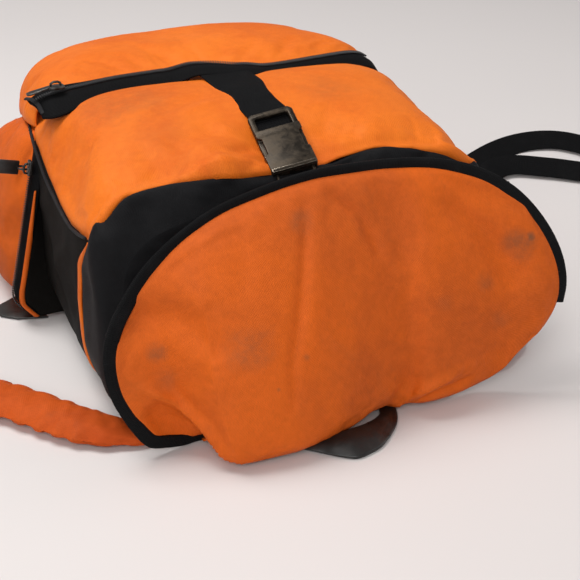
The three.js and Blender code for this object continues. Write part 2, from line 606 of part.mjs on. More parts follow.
// ---------- zip sliders and their pulls ----------
// A slider's body with a raised bridge that its pull hangs on. It faces +Z and runs along X.
function slider() {
  const plan = [[-6, -3], [-2, -5], [6, -4.2], [6, 4.2], [-2, 5], [-6, 3]];
  const body = new THREE.Shape(plan.map(([x, y]) => new THREE.Vector2(x, y)));
  const block = toManifold(new THREE.ExtrudeGeometry(body, { depth: 2.4, bevelEnabled: false }));
  const bridge = toManifold(slab(-4.5, 3.5, -1.3, 1.3, 2, 5.6));
  const eye = toManifold(slab(-2.6, 1.6, -3, 3, 2.4, 4.2));
  return toGeometry(block.add(bridge).subtract(eye));
}

const frontSlider = new THREE.Group();
frontSlider.position.set(ZIP_LEFT + 9, ZIP_Y, ZIP_Z + 4);
root.add(frontSlider);
add(frontSlider, 'front_slider', slider(), gunmetal);
const frontPull = tube([[-6.3, 0, 4.2], [-13, 0, 3.6], [-23, 0, 1.6]], 1.2, 6, 4);
add(frontSlider, 'front_pull', frontPull, gunmetal);

for (const side of [-1, 1]) {
  const name = side < 0 ? 'left' : 'right';
  const carrier = new THREE.Group();
  carrier.position.set(...sideZipPoint(side, SIDE_SLIDER_DOWN, 1.6));
  // local +Z points out of the bag's side, and local X lies along the zip
  carrier.rotation.y = side * Math.atan2(-zipDown.y, zipDown.x);
  root.add(carrier);
  add(carrier, `side_slider_${name}`, slider(), gunmetal);
  // the left pull stands out from the bag and the right one hangs down
  const hanging = new THREE.Group();
  hanging.position.z = PULL_PIVOT;
  hanging.rotation.y = side > 0 ? rad(RIGHT_PULL_HANG) : 0;
  carrier.add(hanging);
  const ring = tube(SIDE_RING, 0.9, 6, 14).translate(0, 0, -PULL_PIVOT);
  add(hanging, `side_ring_${name}`, ring, gunmetal);
  const pull = slab(-6.5, 6.5, -1.2, 1.2, 11.5, 33).translate(0, 0, -PULL_PIVOT);
  add(hanging, `side_pull_${name}`, pull, leather);
}

export default root;
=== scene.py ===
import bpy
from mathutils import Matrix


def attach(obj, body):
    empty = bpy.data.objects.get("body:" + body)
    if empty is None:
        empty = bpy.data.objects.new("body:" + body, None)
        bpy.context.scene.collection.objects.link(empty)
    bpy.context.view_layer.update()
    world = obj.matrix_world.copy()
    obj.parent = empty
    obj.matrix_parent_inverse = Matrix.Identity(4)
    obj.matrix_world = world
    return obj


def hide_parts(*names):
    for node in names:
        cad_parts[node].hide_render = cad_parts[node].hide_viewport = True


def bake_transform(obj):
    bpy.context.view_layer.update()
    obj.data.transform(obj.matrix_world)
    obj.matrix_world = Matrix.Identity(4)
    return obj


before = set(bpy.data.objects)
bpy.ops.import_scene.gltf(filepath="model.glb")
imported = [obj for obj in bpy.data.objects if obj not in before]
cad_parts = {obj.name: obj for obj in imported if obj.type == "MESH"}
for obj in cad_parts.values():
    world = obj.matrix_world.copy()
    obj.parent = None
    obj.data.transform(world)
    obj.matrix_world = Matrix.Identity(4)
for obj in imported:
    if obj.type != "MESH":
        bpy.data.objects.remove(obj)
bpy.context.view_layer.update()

import math

import bpy
import numpy as np
from mathutils import Matrix, Vector, noise

# A travel backpack that lies on its back panel, lid end towards -Y. Lengths here are millimetres,
# with y measured from the lid end; place() turns them into the frame's metres.
ORIGIN_Y = 200
BUCKLE_PITCH, BUCKLE_ROLL, BUCKLE_YAW = 26, -9.5, -5
BUCKLE_CENTRE = (-2, 85, 184)


def place(points):
    """Places in mm from the lid end as metres in the frame."""
    out = np.array(points, float)
    out[..., 1] -= ORIGIN_Y
    return out * 0.001


# ---------- curves ----------
def run_lengths(points, axis=0):
    """How far each point is along its line, or along a grid's rows (axis 0) or columns (axis 1)."""
    steps = np.linalg.norm(np.diff(points, axis=axis), axis=-1)
    return np.concatenate([np.zeros_like(steps.take([0], axis)), np.cumsum(steps, axis)], axis)


def resample(points, count):
    """The same line with evenly spaced points."""
    along = run_lengths(points[:, :3])
    at = np.linspace(0, along[-1], count)
    return np.stack([np.interp(at, along, column) for column in points.T], 1)


def between(control, t):
    """A smooth curve through the rows of control, at places t that count the rows."""
    t = np.clip(t, 0, len(control) - 1)
    k = np.minimum(t.astype(int), len(control) - 2)
    f = (t - k)[..., None]
    c = np.vstack([2 * control[0] - control[1], control, 2 * control[-1] - control[-2]])
    a, b, d, e = c[k], c[k + 1], c[k + 2], c[k + 3]
    return 0.5 * (2 * b + (d - a) * f + (2 * a - 5 * b + 4 * d - e) * f**2 + (3 * b - a - 3 * d + e) * f**3)


def spline(control, count):
    """Evenly spaced points along a smooth curve through the control points."""
    control = np.array(control, float)
    spans = len(control) - 1
    return resample(between(control, np.linspace(0, spans, spans * 24 + 1)), count)


def tangents(points):
    """The direction of a line at each of its points."""
    t = np.gradient(points, axis=0)
    return t / np.linalg.norm(t, axis=1)[:, None]


def unit(v):
    return v / np.maximum(np.linalg.norm(v, axis=-1, keepdims=True), 1e-9)


def smooth(x, a, b):
    """A soft step from 0 at a to 1 at b."""
    t = np.clip((x - a) / (b - a), 0, 1)
    return t * t * (3 - 2 * t)


def field(points, scale, seed):
    """Smooth noise at points in mm, about -1 to 1, with features of the size "scale"."""
    flat = points.reshape(-1, 3) / scale + seed
    return np.array([noise.noise(Vector(p)) for p in flat]).reshape(points.shape[:-1])


# ---------- meshes ----------
def mesh(name, vertices, faces, uv=None):
    """An object from points in mm, smooth-shaded, with one UV pair in mm for each point."""
    data = bpy.data.meshes.new(name)
    data.from_pydata([tuple(v) for v in place(vertices)], [], [tuple(int(i) for i in f) for f in faces])
    if uv is not None:
        layer = data.uv_layers.new(name="UVMap")
        loops = np.zeros(len(data.loops), int)
        data.loops.foreach_get("vertex_index", loops)
        layer.data.foreach_set("uv", (np.array(uv, float)[loops] * 0.001).ravel())
    data.polygons.foreach_set("use_smooth", [True] * len(data.polygons))
    data.validate()
    obj = bpy.data.objects.new(name, data)
    bpy.context.scene.collection.objects.link(obj)
    return obj


def grid_faces(rows, columns, wrap):
    """Four-sided faces between a grid's points, round to the first column again if it wraps."""
    r, c = np.meshgrid(np.arange(rows - 1), np.arange(columns if wrap else columns - 1), indexing="ij")
    d = (c + 1) % columns
    corners = [r * columns + c, r * columns + d, (r + 1) * columns + d, (r + 1) * columns + c]
    return np.stack(corners, -1).reshape(-1, 4)


def grid(name, points, wrap=False, flip=False):
    """A sheet through points[row, column]. Its UVs are lengths along the rows and the columns."""
    rows, columns = points.shape[:2]
    faces = grid_faces(rows, columns, wrap)
    uv = np.stack([run_lengths(points, 1), run_lengths(points, 0)], -1).reshape(-1, 2)
    return mesh(name, points.reshape(-1, 3), faces[:, ::-1] if flip else faces, uv)


def thicken(obj, thickness, offset=-1.0):
    """Gives a sheet its thickness, inwards unless the offset is 1."""
    modifier = obj.modifiers.new("thickness", "SOLIDIFY")
    modifier.thickness = thickness * 0.001
    modifier.offset = offset
    modifier.use_even_offset = False
    return obj


def normals(points):
    """The direction square to the sheet at each of its points."""
    du = np.gradient(points, axis=1)
    dv = np.gradient(points, axis=0)
    return unit(np.cross(du, dv))


def strap_mesh(name, rings, centre, across):
    """A closed strap through rings of points. across is how far each point is from its middle line."""
    rows, sides = rings.shape[:2]
    faces = [tuple(f[::-1]) for f in grid_faces(rows, sides, True)]
    faces += [tuple(range(sides)), tuple(reversed(range((rows - 1) * sides, rows * sides)))]
    along = np.broadcast_to(run_lengths(centre)[:, None], (rows, sides))
    return mesh(name, rings.reshape(-1, 3), faces, np.stack([across, along], -1).reshape(-1, 2))


def ribbon(name, centre, across, width, thickness, power, sides=14):
    """A strap of flattened oval section along the points centre; across is its width's direction."""
    centre = np.array(centre, float)
    along = tangents(centre)
    across = np.broadcast_to(np.array(across, float), centre.shape)
    across = unit(across - along * np.sum(across * along, 1)[:, None])
    up = np.cross(across, along)
    turn = np.linspace(0, 2 * np.pi, sides, endpoint=False)
    c, s = np.cos(turn), np.sin(turn)
    cu = np.sign(c) * np.abs(c) ** power
    cv = np.sign(s) * np.abs(s) ** power
    width = np.broadcast_to(width, len(centre))
    rings = (centre[:, None] + across[:, None] * (cu[None, :, None] * width[:, None, None] / 2)
             + up[:, None] * (cv[None, :, None] * thickness / 2))
    return strap_mesh(name, rings, centre, cu[None, :] * width[:, None] / 2)


def tube(name, points, radius, sides):
    """A round cord or wire through points."""
    points = np.array(points, float)
    along = tangents(points)
    side = np.cross(along, [0.31, 0.17, 0.93])
    return ribbon(name, points, unit(side), radius * 2, radius * 2, power=1.0, sides=sides)


def plate(name, outline, low, high, bevel, holes=(), segments=2):
    """A plate with bevelled edges from a 2-D outline, between two heights, with holes cut through."""
    def prism(label, shape, a, b):
        n = len(shape)
        v = [(x, y + ORIGIN_Y, z) for z in (a, b) for x, y in shape]
        f = [tuple(reversed(range(n))), tuple(range(n, 2 * n))]
        f += [(i, (i + 1) % n, n + (i + 1) % n, n + i) for i in range(n)]
        return mesh(label, v, f)
    body = prism(name, outline, low, high)
    for number, hole in enumerate(holes):
        cutter = prism(f"cutter_{number}", hole, low - 5, high + 5)
        modifier = body.modifiers.new("hole", "BOOLEAN")
        modifier.object = cutter
        modifier.operation = "DIFFERENCE"
        modifier.solver = "EXACT"
        apply(body)
        bpy.data.objects.remove(cutter)
    modifier = body.modifiers.new("bevel", "BEVEL")
    modifier.width = bevel * 0.001
    modifier.segments = segments
    modifier.limit_method = "ANGLE"
    modifier.angle_limit = math.radians(28)
    modifier.harden_normals = False
    apply(body)
    return body


def apply(obj):
    """Turns an object's modifiers into its mesh."""
    bpy.context.view_layer.update()
    evaluated = obj.evaluated_get(bpy.context.evaluated_depsgraph_get())
    data = bpy.data.meshes.new_from_object(evaluated)
    obj.modifiers.clear()
    old = obj.data
    obj.data = data
    data.name = obj.name
    if old.users == 0:
        bpy.data.meshes.remove(old)


def rectangle(x0, x1, y0, y1, corner=0.0):
    """A rectangle's outline, with round corners of that radius."""
    if corner <= 0:
        return [(x0, y0), (x1, y0), (x1, y1), (x0, y1)]
    out = []
    for cx, cy, start in ((x1 - corner, y0 + corner, -90), (x1 - corner, y1 - corner, 0),
                          (x0 + corner, y1 - corner, 90), (x0 + corner, y0 + corner, 180)):
        for k in range(5):
            a = math.radians(start + 90 * k / 4)
            out.append((cx + corner * math.cos(a), cy + corner * math.sin(a)))
    return out


def join(name, objects):
    """One object of several, which are removed."""
    vertices, faces, uvs, base = [], [], [], 0
    for o in objects:
        bpy.context.view_layer.update()
        m = o.matrix_world
        vertices += [m @ v.co for v in o.data.vertices]
        faces += [[base + i for i in p.vertices] for p in o.data.polygons]
        layer = o.data.uv_layers.active
        corners = [i for p in o.data.polygons for i in p.loop_indices]
        uvs += [tuple(layer.data[i].uv) if layer else (0, 0) for i in corners]
        base += len(o.data.vertices)
        bpy.data.objects.remove(o)
    data = bpy.data.meshes.new(name)
    data.from_pydata(vertices, [], faces)
    layer = data.uv_layers.new(name="UVMap")
    layer.data.foreach_set("uv", np.array(uvs, float).ravel())
    data.polygons.foreach_set("use_smooth", [True] * len(data.polygons))
    obj = bpy.data.objects.new(name, data)
    bpy.context.scene.collection.objects.link(obj)
    return obj


SIDES = ((-1, "left"), (1, "right"))

# The lid's cloth turns at its hem: the body it leaves, the one it joins, and where, in metres. Nothing reads
# these values; finish_piece only fixes pieces given them in place in the frame.
LID_BEND = ("root", "lid", (0, -0.226, 0.006), (0, -0.226, 0.060))


def finish_piece(obj, body, material, nodes=()):
    """Gives a piece its material, the body it rides and the frame's nodes that it replaces. A piece given
    LID_BEND rides no body and is only fixed in place.
    """
    obj.data.materials.clear()
    obj.data.materials.append(material)
    if body is LID_BEND:
        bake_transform(obj)
    else:
        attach(obj, body)
    if nodes:
        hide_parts(*nodes)


def sheet_piece(name, points, thickness, body, material, nodes=()):
    """A finished piece of cloth or hide through points[row, column], thickened inwards."""
    finish_piece(thicken(grid(name, points), thickness), body, material, nodes)


def from_edge(points, sides=("start", "end", "right", "left")):
    """How far each point is along the sheet from the nearest of the named edges."""
    along, across = run_lengths(points, 0), run_lengths(points, 1)
    runs = {"start": along, "end": along[-1:] - along, "right": across, "left": across[:, -1:] - across}
    return np.min([runs[name] for name in sides], axis=0)


# ---------- cloth simulation ----------
LAST_FRAME = 20


def stretched(values, count):
    """A row of values, spread evenly over count places."""
    return np.interp(np.linspace(0, 1, count), np.linspace(0, 1, len(values)), values)


def stretch_back(coarse, rows, columns):
    """A coarse grid's values at every point of the full grid."""
    tall = np.stack([stretched(column, rows) for column in coarse.T], 1)
    return np.stack([stretched(row, columns) for row in tall])


def settle(points, pressure, slack, cap, wrap=False, sewn=None):
    """The sheet after a cloth simulation on every second row and column. Its sewn points stay (its edges,
    or where sewn is true), the rest swells by the pressure and wrinkles by the slack, at most cap mm."""
    rows, columns = points.shape[:2]
    pick_rows = np.round(np.linspace(0, rows - 1, rows // 2 + 1)).astype(int)
    pick_columns = np.round(np.linspace(0, columns - 1, columns // 2 + 1)).astype(int)
    if wrap:
        pick_columns = np.arange(0, columns, 2)
    coarse = points[pick_rows][:, pick_columns]
    if sewn is None:
        held = np.zeros(coarse.shape[:2], bool)
        held[[0, -1]] = True
        held[:, [0, -1]] = True
    else:
        held = sewn[pick_rows][:, pick_columns]
    sheet = grid("settling_cloth", coarse, wrap=wrap)
    group = sheet.vertex_groups.new(name="sewn")
    group.add([int(i) for i in np.flatnonzero(held.ravel())], 1.0, "REPLACE")
    cloth = sheet.modifiers.new("cloth", "CLOTH")
    settings = cloth.settings
    settings.vertex_group_mass = "sewn"
    settings.quality = 5
    settings.mass = 0.15
    settings.tension_stiffness = settings.compression_stiffness = 25
    settings.shear_stiffness = 8
    settings.bending_stiffness = 0.4
    settings.air_damping = 3
    settings.use_pressure = True
    settings.uniform_pressure_force = pressure
    settings.shrink_min = -slack
    settings.effector_weights.gravity = 0
    cloth.collision_settings.use_collision = False
    cloth.point_cache.frame_start, cloth.point_cache.frame_end = 1, LAST_FRAME
    for number in range(1, LAST_FRAME + 1):
        bpy.context.scene.frame_set(number)
    evaluated = sheet.evaluated_get(bpy.context.evaluated_depsgraph_get())
    found = np.empty(coarse.size)
    evaluated.data.vertices.foreach_get("co", found)
    moved = found.reshape(coarse.shape) * 1000 + [0, ORIGIN_Y, 0] - coarse
    data = sheet.data
    bpy.data.objects.remove(sheet)
    bpy.data.meshes.remove(data)
    bpy.context.scene.frame_set(1)
    size = np.maximum(np.linalg.norm(moved, axis=-1, keepdims=True), 1e-6)
    moved *= cap * np.tanh(size / cap) / size
    if wrap:
        moved = np.concatenate([moved, moved[:, :1]], 1)
        full = np.stack([stretch_back(moved[..., k], rows, columns + 1) for k in range(3)], -1)[:, :-1]
    else:
        full = np.stack([stretch_back(moved[..., k], rows, columns) for k in range(3)], -1)
        full *= smooth(from_edge(points), 1, 16)[..., None]
    return points + full


# ---------- materials ----------
class Graph:
    """Short calls for building a material's nodes. A value is a number, a tuple or another node's output."""

    def __init__(self, made):
        self.tree = made.node_tree
        self.shader = self.tree.nodes["Principled BSDF"]

    def feed(self, inputs, values):
        """Gives inputs their values, by name or by number."""
        for key, value in values.items():
            if isinstance(value, bpy.types.NodeSocket):
                self.tree.links.new(value, inputs[key])
            elif inputs[key].type == "RGBA":
                inputs[key].default_value = (*value, 1)
            else:
                inputs[key].default_value = value

    def shade(self, values):
        """Gives the material's shader its values."""
        self.feed(self.shader.inputs, values)

    def node(self, kind, values, **settings):
        """The outputs of a new node with these settings and input values."""
        made = self.tree.nodes.new(kind)
        for key, value in settings.items():
            setattr(made, key, value)
        self.feed(made.inputs, values)
        return made.outputs

    def math(self, operation, *values, clamp=False):
        return self.node("ShaderNodeMath", dict(enumerate(values)), operation=operation, use_clamp=clamp)[0]

    def vector(self, operation, a, b):
        """The outputs of a sum on two vectors."""
        return self.node("ShaderNodeVectorMath", {0: a, 1: b}, operation=operation)

    def stretch(self, vector, factors):
        """The vector multiplied by a factor on each axis."""
        return self.vector("MULTIPLY", vector, factors)[0]

    def noise(self, vector, scale, detail=3, roughness=0.55, distortion=0.0):
        return self.node("ShaderNodeTexNoise", {
            "Vector": vector, "Scale": scale, "Detail": detail, "Roughness": roughness,
            "Distortion": distortion})["Fac"]

    def spread(self, value, low, high, to_low=0.0, to_high=1.0):
        """A soft step between two values."""
        return self.node("ShaderNodeMapRange", {
            "Value": value, "From Min": low, "From Max": high, "To Min": to_low, "To Max": to_high},
            interpolation_type="SMOOTHSTEP")["Result"]

    def mix(self, factor, a, b):
        """A blend of two colors."""
        return self.node("ShaderNodeMix", {0: factor, 6: a, 7: b}, data_type="RGBA")[2]

    def bump(self, height, distance, strength=1.0, normal=None):
        """Relief of this height, in metres, laid over a normal."""
        values = {"Height": height, "Distance": distance, "Strength": strength}
        if normal is not None:
            values["Normal"] = normal
        return self.node("ShaderNodeBump", values)["Normal"]


def material(name):
    """A new material, its graph, and the places on the object and on its cloth."""
    made = bpy.data.materials.new(name)
    made.use_nodes = True
    g = Graph(made)
    places = g.node("ShaderNodeTexCoord", {})
    return made, g, places["Object"], places["UV"]


def weave_height(g, uv, pitch):
    """Over-and-under threads of a plain weave, pitch in metres."""
    split = g.node("ShaderNodeSeparateXYZ", {0: uv})
    across, along = (g.math("SINE", g.math("MULTIPLY", split[k], math.pi / pitch)) for k in (0, 1))
    return g.math("MULTIPLY", across, along)


SOIL_COLOR = (0.11, 0.07, 0.04)


def soil_amount(g, at, places, general):
    """How dirty the cloth is: at places as (x, y, z, radius, strength) in mm, and in patches all over."""
    parts = []
    for x, y, z, radius, strength in places:
        away = g.vector("DISTANCE", at, tuple(place([x, y, z])))["Value"]
        ragged = g.math("MULTIPLY_ADD", g.noise(at, 45, 4, 0.7), radius * 0.0011, away)
        parts.append(g.spread(ragged, radius * 0.0008, radius * 0.0019, strength, 0.0))
    parts.append(g.spread(g.noise(at, 14, 5, 0.72, 0.8), 0.52, 0.74, 0.0, general))
    dirt = parts[0]
    for part in parts[1:]:
        dirt = g.math("MAXIMUM", dirt, part)
    return g.math("MULTIPLY", dirt, g.spread(g.noise(at, 70, 4, 0.75), 0.3, 0.62, 0.25, 1.0), clamp=True)


def cloth_material(name, color, shade, rough=0.6, soil=(), soil_general=0.0, wrinkle=0.0006, specular=0.14):
    """Woven cloth with soil in the places listed and, at the general strength, all over."""
    made, g, at, uv = material(name)
    broad = g.noise(at, 9, 4, 0.6, 0.4)
    fine = g.noise(at, 160, 3, 0.6)
    threads = g.noise(g.stretch(uv, (2600, 260, 1)), 1, 1, 0.5)
    tint = g.mix(g.spread(broad, 0.36, 0.66), color, shade)
    tint = g.mix(g.spread(threads, 0.35, 0.7, 0.0, 0.22), tint, tuple(0.6 * v for v in shade))
    tint = g.mix(g.spread(fine, 0.35, 0.7, 0.0, 0.12), tint, tuple(min(1, 1.5 * v + 0.01) for v in color))
    if soil_general:
        tint = g.mix(soil_amount(g, at, soil, soil_general), tint, SOIL_COLOR)
    creases = g.noise(g.stretch(at, (1, 1, 0.7)), 38, 4, 0.55, 0.6)
    normal = g.bump(creases, wrinkle, 0.8)
    normal = g.bump(g.noise(at, 420, 2, 0.6), 0.00008, 0.6, normal)
    normal = g.bump(weave_height(g, uv, 0.0009), 0.0001, 0.8, normal)
    g.shade({"Base Color": tint, "Roughness": g.spread(broad, 0.3, 0.7, rough - 0.05, rough + 0.08),
             "Specular IOR Level": specular, "Normal": normal})
    return made


def webbing_material(name, color, light, pitch=0.0016, rough=0.7):
    """Woven tape with slanting ribs, pitch in metres."""
    made, g, at, uv = material(name)
    split = g.node("ShaderNodeSeparateXYZ", {0: uv})
    k = math.pi / pitch
    ribs = g.math("ABSOLUTE", g.math("SINE", g.math("MULTIPLY", split[0], k * 0.6)))
    slant = g.math("MULTIPLY_ADD", ribs, 0.6, g.math("SINE", g.math("MULTIPLY", split[1], k * 2)))
    worn = g.noise(at, 60, 4, 0.65)
    normal = g.bump(slant, 0.00022, 0.7)
    g.shade({"Base Color": g.mix(g.spread(worn, 0.45, 0.75, 0.0, 0.5), color, light),
             "Roughness": g.spread(worn, 0.3, 0.7, rough - 0.05, rough + 0.1),
             "Specular IOR Level": 0.06,
             "Normal": g.bump(g.noise(at, 500, 2, 0.6), 0.0001, 0.5, normal)})
    return made


def leather_material(name, color, light, rough, coat):
    """Smooth leather with a fine grain, rubbed lighter in places."""
    made, g, at, _ = material(name)
    cells = g.node("ShaderNodeTexVoronoi", {"Scale": 900, "Vector": at}, feature="DISTANCE_TO_EDGE")
    worn = g.noise(at, 70, 5, 0.7, 0.5)
    normal = g.bump(cells["Distance"], 0.0002, 0.5)
    g.shade({"Base Color": g.mix(g.spread(worn, 0.52, 0.78, 0.0, 0.7), color, light),
             "Roughness": g.spread(worn, 0.3, 0.75, rough - 0.08, rough + 0.16),
             "Coat Weight": coat, "Coat Roughness": 0.3,
             "Normal": g.bump(g.noise(at, 90, 4, 0.6), 0.0006, 0.5, normal)})
    return made


def metal_material(name, color, bright, dark):
    """Antiqued metal: brown-black in patches, rubbed bright along its edges."""
    made, g, at, _ = material(name)
    worn = g.noise(at, 120, 5, 0.7, 0.6)
    scratches = g.noise(g.stretch(at, (900, 90, 400)), 1, 2, 0.6)
    tint = g.mix(g.spread(worn, 0.35, 0.68), dark, color)
    rounded = g.node("ShaderNodeBevel", {"Radius": 0.0009}, samples=4)[0]
    flat = g.node("ShaderNodeNewGeometry", {})["Normal"]
    edge = g.spread(g.vector("DOT_PRODUCT", rounded, flat)["Value"], 0.86, 0.995, 1.0, 0.0)
    edge = g.math("MULTIPLY", edge, g.spread(g.noise(at, 260, 4, 0.7), 0.32, 0.55, 0.2, 1.0), clamp=True)
    normal = g.bump(scratches, 0.00005, 0.35)
    g.shade({"Base Color": g.mix(edge, tint, bright), "Metallic": 0.85,
             "Roughness": g.math("MULTIPLY_ADD", edge, -0.1, g.spread(worn, 0.3, 0.75, 0.31, 0.56)),
             "Normal": g.bump(g.noise(at, 300, 4, 0.65), 0.00012, 0.5, normal)})
    return made


def moulded_material(name, color):
    """Moulded plastic, slightly scuffed."""
    made, g, at, _ = material(name)
    worn = g.noise(at, 130, 4, 0.65)
    g.shade({"Base Color": g.mix(g.spread(worn, 0.4, 0.7), color, tuple(2.2 * v for v in color)),
             "Roughness": g.spread(worn, 0.3, 0.7, 0.36, 0.54),
             "Normal": g.bump(g.noise(at, 700, 2, 0.6), 0.00004, 0.6)})
    return made


LID_SOIL = [
    (155, -4, 119, 5, 0.85), (146, -5, 114, 13, 0.5), (117, -12, 94, 8, 0.32), (127, -18, 63, 9, 0.22),
    (81, -18, 86, 8, 0.2), (-124, 6, 78, 8, 0.5), (-67, -22, 86, 17, 0.38), (-29, -29, 73, 3.5, 0.5),
    (-52, -36, 57, 2.0, 0.9), (-14, 18, 151, 9, 0.3), (-118, 4, 58, 10, 0.25)]
FRONT_SOIL = [(-80, 120, 175, 30, 0.12), (-90, 180, 184, 40, 0.22), (60, 150, 186, 26, 0.18)]
# Darker copy of the orange nylon and its mottle tone: painted shade, used on the lid, its fold and the side
# pockets.
PAINTED_SHADE_ORANGE, PAINTED_SHADE_MOTTLE = (0.66, 0.116, 0.008), (0.52, 0.093, 0.011)
# Lighter copy of the same orange nylon: painted light, used on the front panel, the front pocket and the
# stripes.
orange = cloth_material("orange_nylon_cloth_painted_light", (0.80, 0.176, 0.012), (0.68, 0.126, 0.009),
                        soil=FRONT_SOIL, soil_general=0.10, specular=0.16)
orange_lid = cloth_material("orange_lid_cloth_painted_shade", PAINTED_SHADE_ORANGE, PAINTED_SHADE_MOTTLE, soil=LID_SOIL, soil_general=0.10,
                            wrinkle=0.0005)
orange_side = cloth_material("orange_side_cloth_painted_shade", PAINTED_SHADE_ORANGE, PAINTED_SHADE_MOTTLE, soil_general=0.10)
orange_pad = cloth_material("orange_strap_cloth", (0.56, 0.088, 0.009), (0.44, 0.060, 0.007), rough=0.7,
                            soil_general=0.15)
black_cloth = cloth_material("black_nylon_cloth", (0.0055, 0.0055, 0.0065), (0.008, 0.008, 0.009),
                             wrinkle=0.0008, specular=0.12)
coated_cloth = cloth_material("black_coated_cloth", (0.006, 0.0055, 0.005), (0.009, 0.008, 0.007), rough=0.66,
                              wrinkle=0.0008, specular=0.035)
foam_sheet = cloth_material("grey_foam_sheet", (0.16, 0.16, 0.165), (0.13, 0.13, 0.135), rough=0.9,
                            specular=0.4)
binding_cloth = webbing_material("black_binding_tape", (0.006, 0.006, 0.0065), (0.013, 0.013, 0.014),
                                 pitch=0.0012, rough=0.6)
webbing_cloth = webbing_material("black_webbing_cloth", (0.0045, 0.0045, 0.005), (0.010, 0.010, 0.0105))
piping_cloth = webbing_material("grey_piping_cloth", (0.022, 0.022, 0.024), (0.075, 0.073, 0.07),
                                pitch=0.0009, rough=0.55)
black_leather = leather_material("black_leather_hide", (0.008, 0.0075, 0.007), (0.03, 0.027, 0.024),
                                 rough=0.34, coat=0.1)
aged_metal = metal_material("antique_buckle_metal", color=(0.058, 0.045, 0.032), bright=(0.34, 0.29, 0.23),
                            dark=(0.020, 0.016, 0.012))
dark_metal = metal_material("dark_hardware_metal", color=(0.09, 0.085, 0.08), bright=(0.42, 0.40, 0.37),
                            dark=(0.025, 0.024, 0.023))
black_plastic = moulded_material("black_moulded_plastic", (0.012, 0.012, 0.013))


# ---------- the body's skin ----------
BELT = 85                              # the height at which the body's sections are widest
STATIONS = np.array([  # y at the floor, lean, half width, lowest, highest, squareness of the front corners
    (22, 0.2, 134, 0, 152, 3.6), (30, 0.2, 150.5, 0, 171, 5.6), (66, 0.05, 152, 0, 174, 5.4),
    (108, 0, 153, 0, 185, 4.4), (165, 0, 152, 0, 190, 4.6), (200, 0, 151, 0, 188, 5.5),
    (235, 0, 150, 0, 180, 6), (300, 0, 146, 0, 168, 4), (360, 0, 138, 0, 153, 3.4),
    (386, 0, 126, 6, 134, 3), (397, 0, 92, 36, 104, 2.6)], float)
SEAM_TOP = [(-147, 66, 138), (-140, 60, 155), (-125, 62, 168), (-100, 66, 172), (-68, 60, 173),
            (-50, 56, 173), (-28, 60, 170), (0, 63, 168), (24, 66, 170), (58, 70, 175), (90, 66, 172),
            (120, 60, 162), (137, 60, 148), (147, 66, 134)]
SEAM_SIDE = [(138, 66), (110, 86), (80, 92), (50, 93), (22, 91), (0, 88)]       # height, y
PIPING = [(60, 138), (86, 135), (114, 131), (150, 133), (190, 138), (225, 147), (262, 148), (320, 138),
          (390, 110)]                                                           # y, height


def skin_at(t, turn):
    """The body's skin at places t along the stations and at angles round them, from +X over the top."""
    y, lean, half, low, high, square = np.moveaxis(between(STATIONS, t), -1, 0)
    c, s = np.cos(turn), np.sin(turn)
    power = np.where(s > 0, square, 5.2)
    reach = np.where(s > 0, high - BELT, BELT - low)
    x = half * np.sign(c) * np.abs(c) ** (2 / power)
    z = BELT + reach * np.sign(s) * np.abs(s) ** (2 / power)
    return np.stack([x, y + lean * z, z], -1)


TURNS = np.linspace(-math.pi / 2, 1.5 * math.pi, 721)
T_STEPS = np.linspace(0, len(STATIONS) - 1, 401)
SKIN = skin_at(T_STEPS[:, None], TURNS[None, :])


def section(y):
    """The skin's outline at one y, as points from under the right side, over the top, to under the left."""
    out = np.empty((len(TURNS), 3))
    out[:, 1] = y
    for k in (0, 2):
        out[:, k] = [np.interp(y, SKIN[:, i, 1], SKIN[:, i, k]) for i in range(len(TURNS))]
    return out


BASE_SEAM_Y = 384.0
SECTION_Y = np.arange(26, 397, 3.0)
SECTIONS = np.stack([section(y) for y in SECTION_Y])


def cut_section(k, edge_z, count):
    """The part of a section above a height, as evenly spaced points from its right side to its left."""
    line = SECTIONS[k]
    middle = len(TURNS) // 2
    i = np.interp(edge_z, line[: middle + 1, 2], np.arange(middle + 1))
    j = np.interp(-edge_z, -line[middle:, 2], np.arange(middle, len(TURNS)))
    at = np.linspace(i, j, 400)
    dense = np.stack([np.interp(at, np.arange(len(TURNS)), line[:, c]) for c in range(3)], 1)
    return resample(dense, count)


def piping_z(y):
    """How high the piping between the front and the side runs, at a y."""
    return np.interp(y, [p[0] for p in PIPING], [p[1] for p in PIPING])


TOP_LINE = spline(SEAM_TOP, 240)


def seam_y(x):
    """Where the collar ends and the front panel starts, at a place across the top."""
    return np.interp(x, TOP_LINE[:, 0], TOP_LINE[:, 1])


def seam_z(x):
    """How high that seam is."""
    return np.interp(x, TOP_LINE[:, 0], TOP_LINE[:, 2])


def side_seam_y(z):
    """Where the collar ends on the bag's side, at a height."""
    return np.interp(z, [p[0] for p in SEAM_SIDE[::-1]], [p[1] for p in SEAM_SIDE[::-1]])


def crease(points, start, end, depth, width, fade=0.25):
    """A ridge or, if depth is negative, a furrow along the line between two places, as an offset."""
    a, b = np.array(start, float), np.array(end, float)
    line = b - a
    t = np.clip(((points - a) @ line) / (line @ line), -0.3, 1.3)
    away = np.linalg.norm(points - (a + t[..., None] * line), axis=-1)
    along = smooth(t, -0.02, fade) * smooth(-t, -1.02, -1 + fade)
    return depth * along * np.exp(-((away / width) ** 2))


def push(points, offsets):
    """The sheet moved along its normals."""
    return points + normals(points) * offsets[..., None]


def shut(points, sides, depth, width):
    """Turns a panel's edges in, as at a seam. sides is a set of "start", "end", "right", "left"."""
    return -depth * np.exp(-from_edge(points, sides) / width * 1.6)


def fold_line(points, path, depth, width):
    """A ridge or, if depth is negative, a furrow along a curve through several places, as an offset."""
    line = spline(path, 30)
    gaps = np.linalg.norm(points[..., None, :] - line, axis=-1)
    nearest = np.argmin(gaps, axis=-1) / 29
    along = smooth(nearest, -0.02, 0.2) * smooth(-nearest, -1.02, -0.8)
    return depth * along * np.exp(-((gaps.min(-1) / width) ** 2))


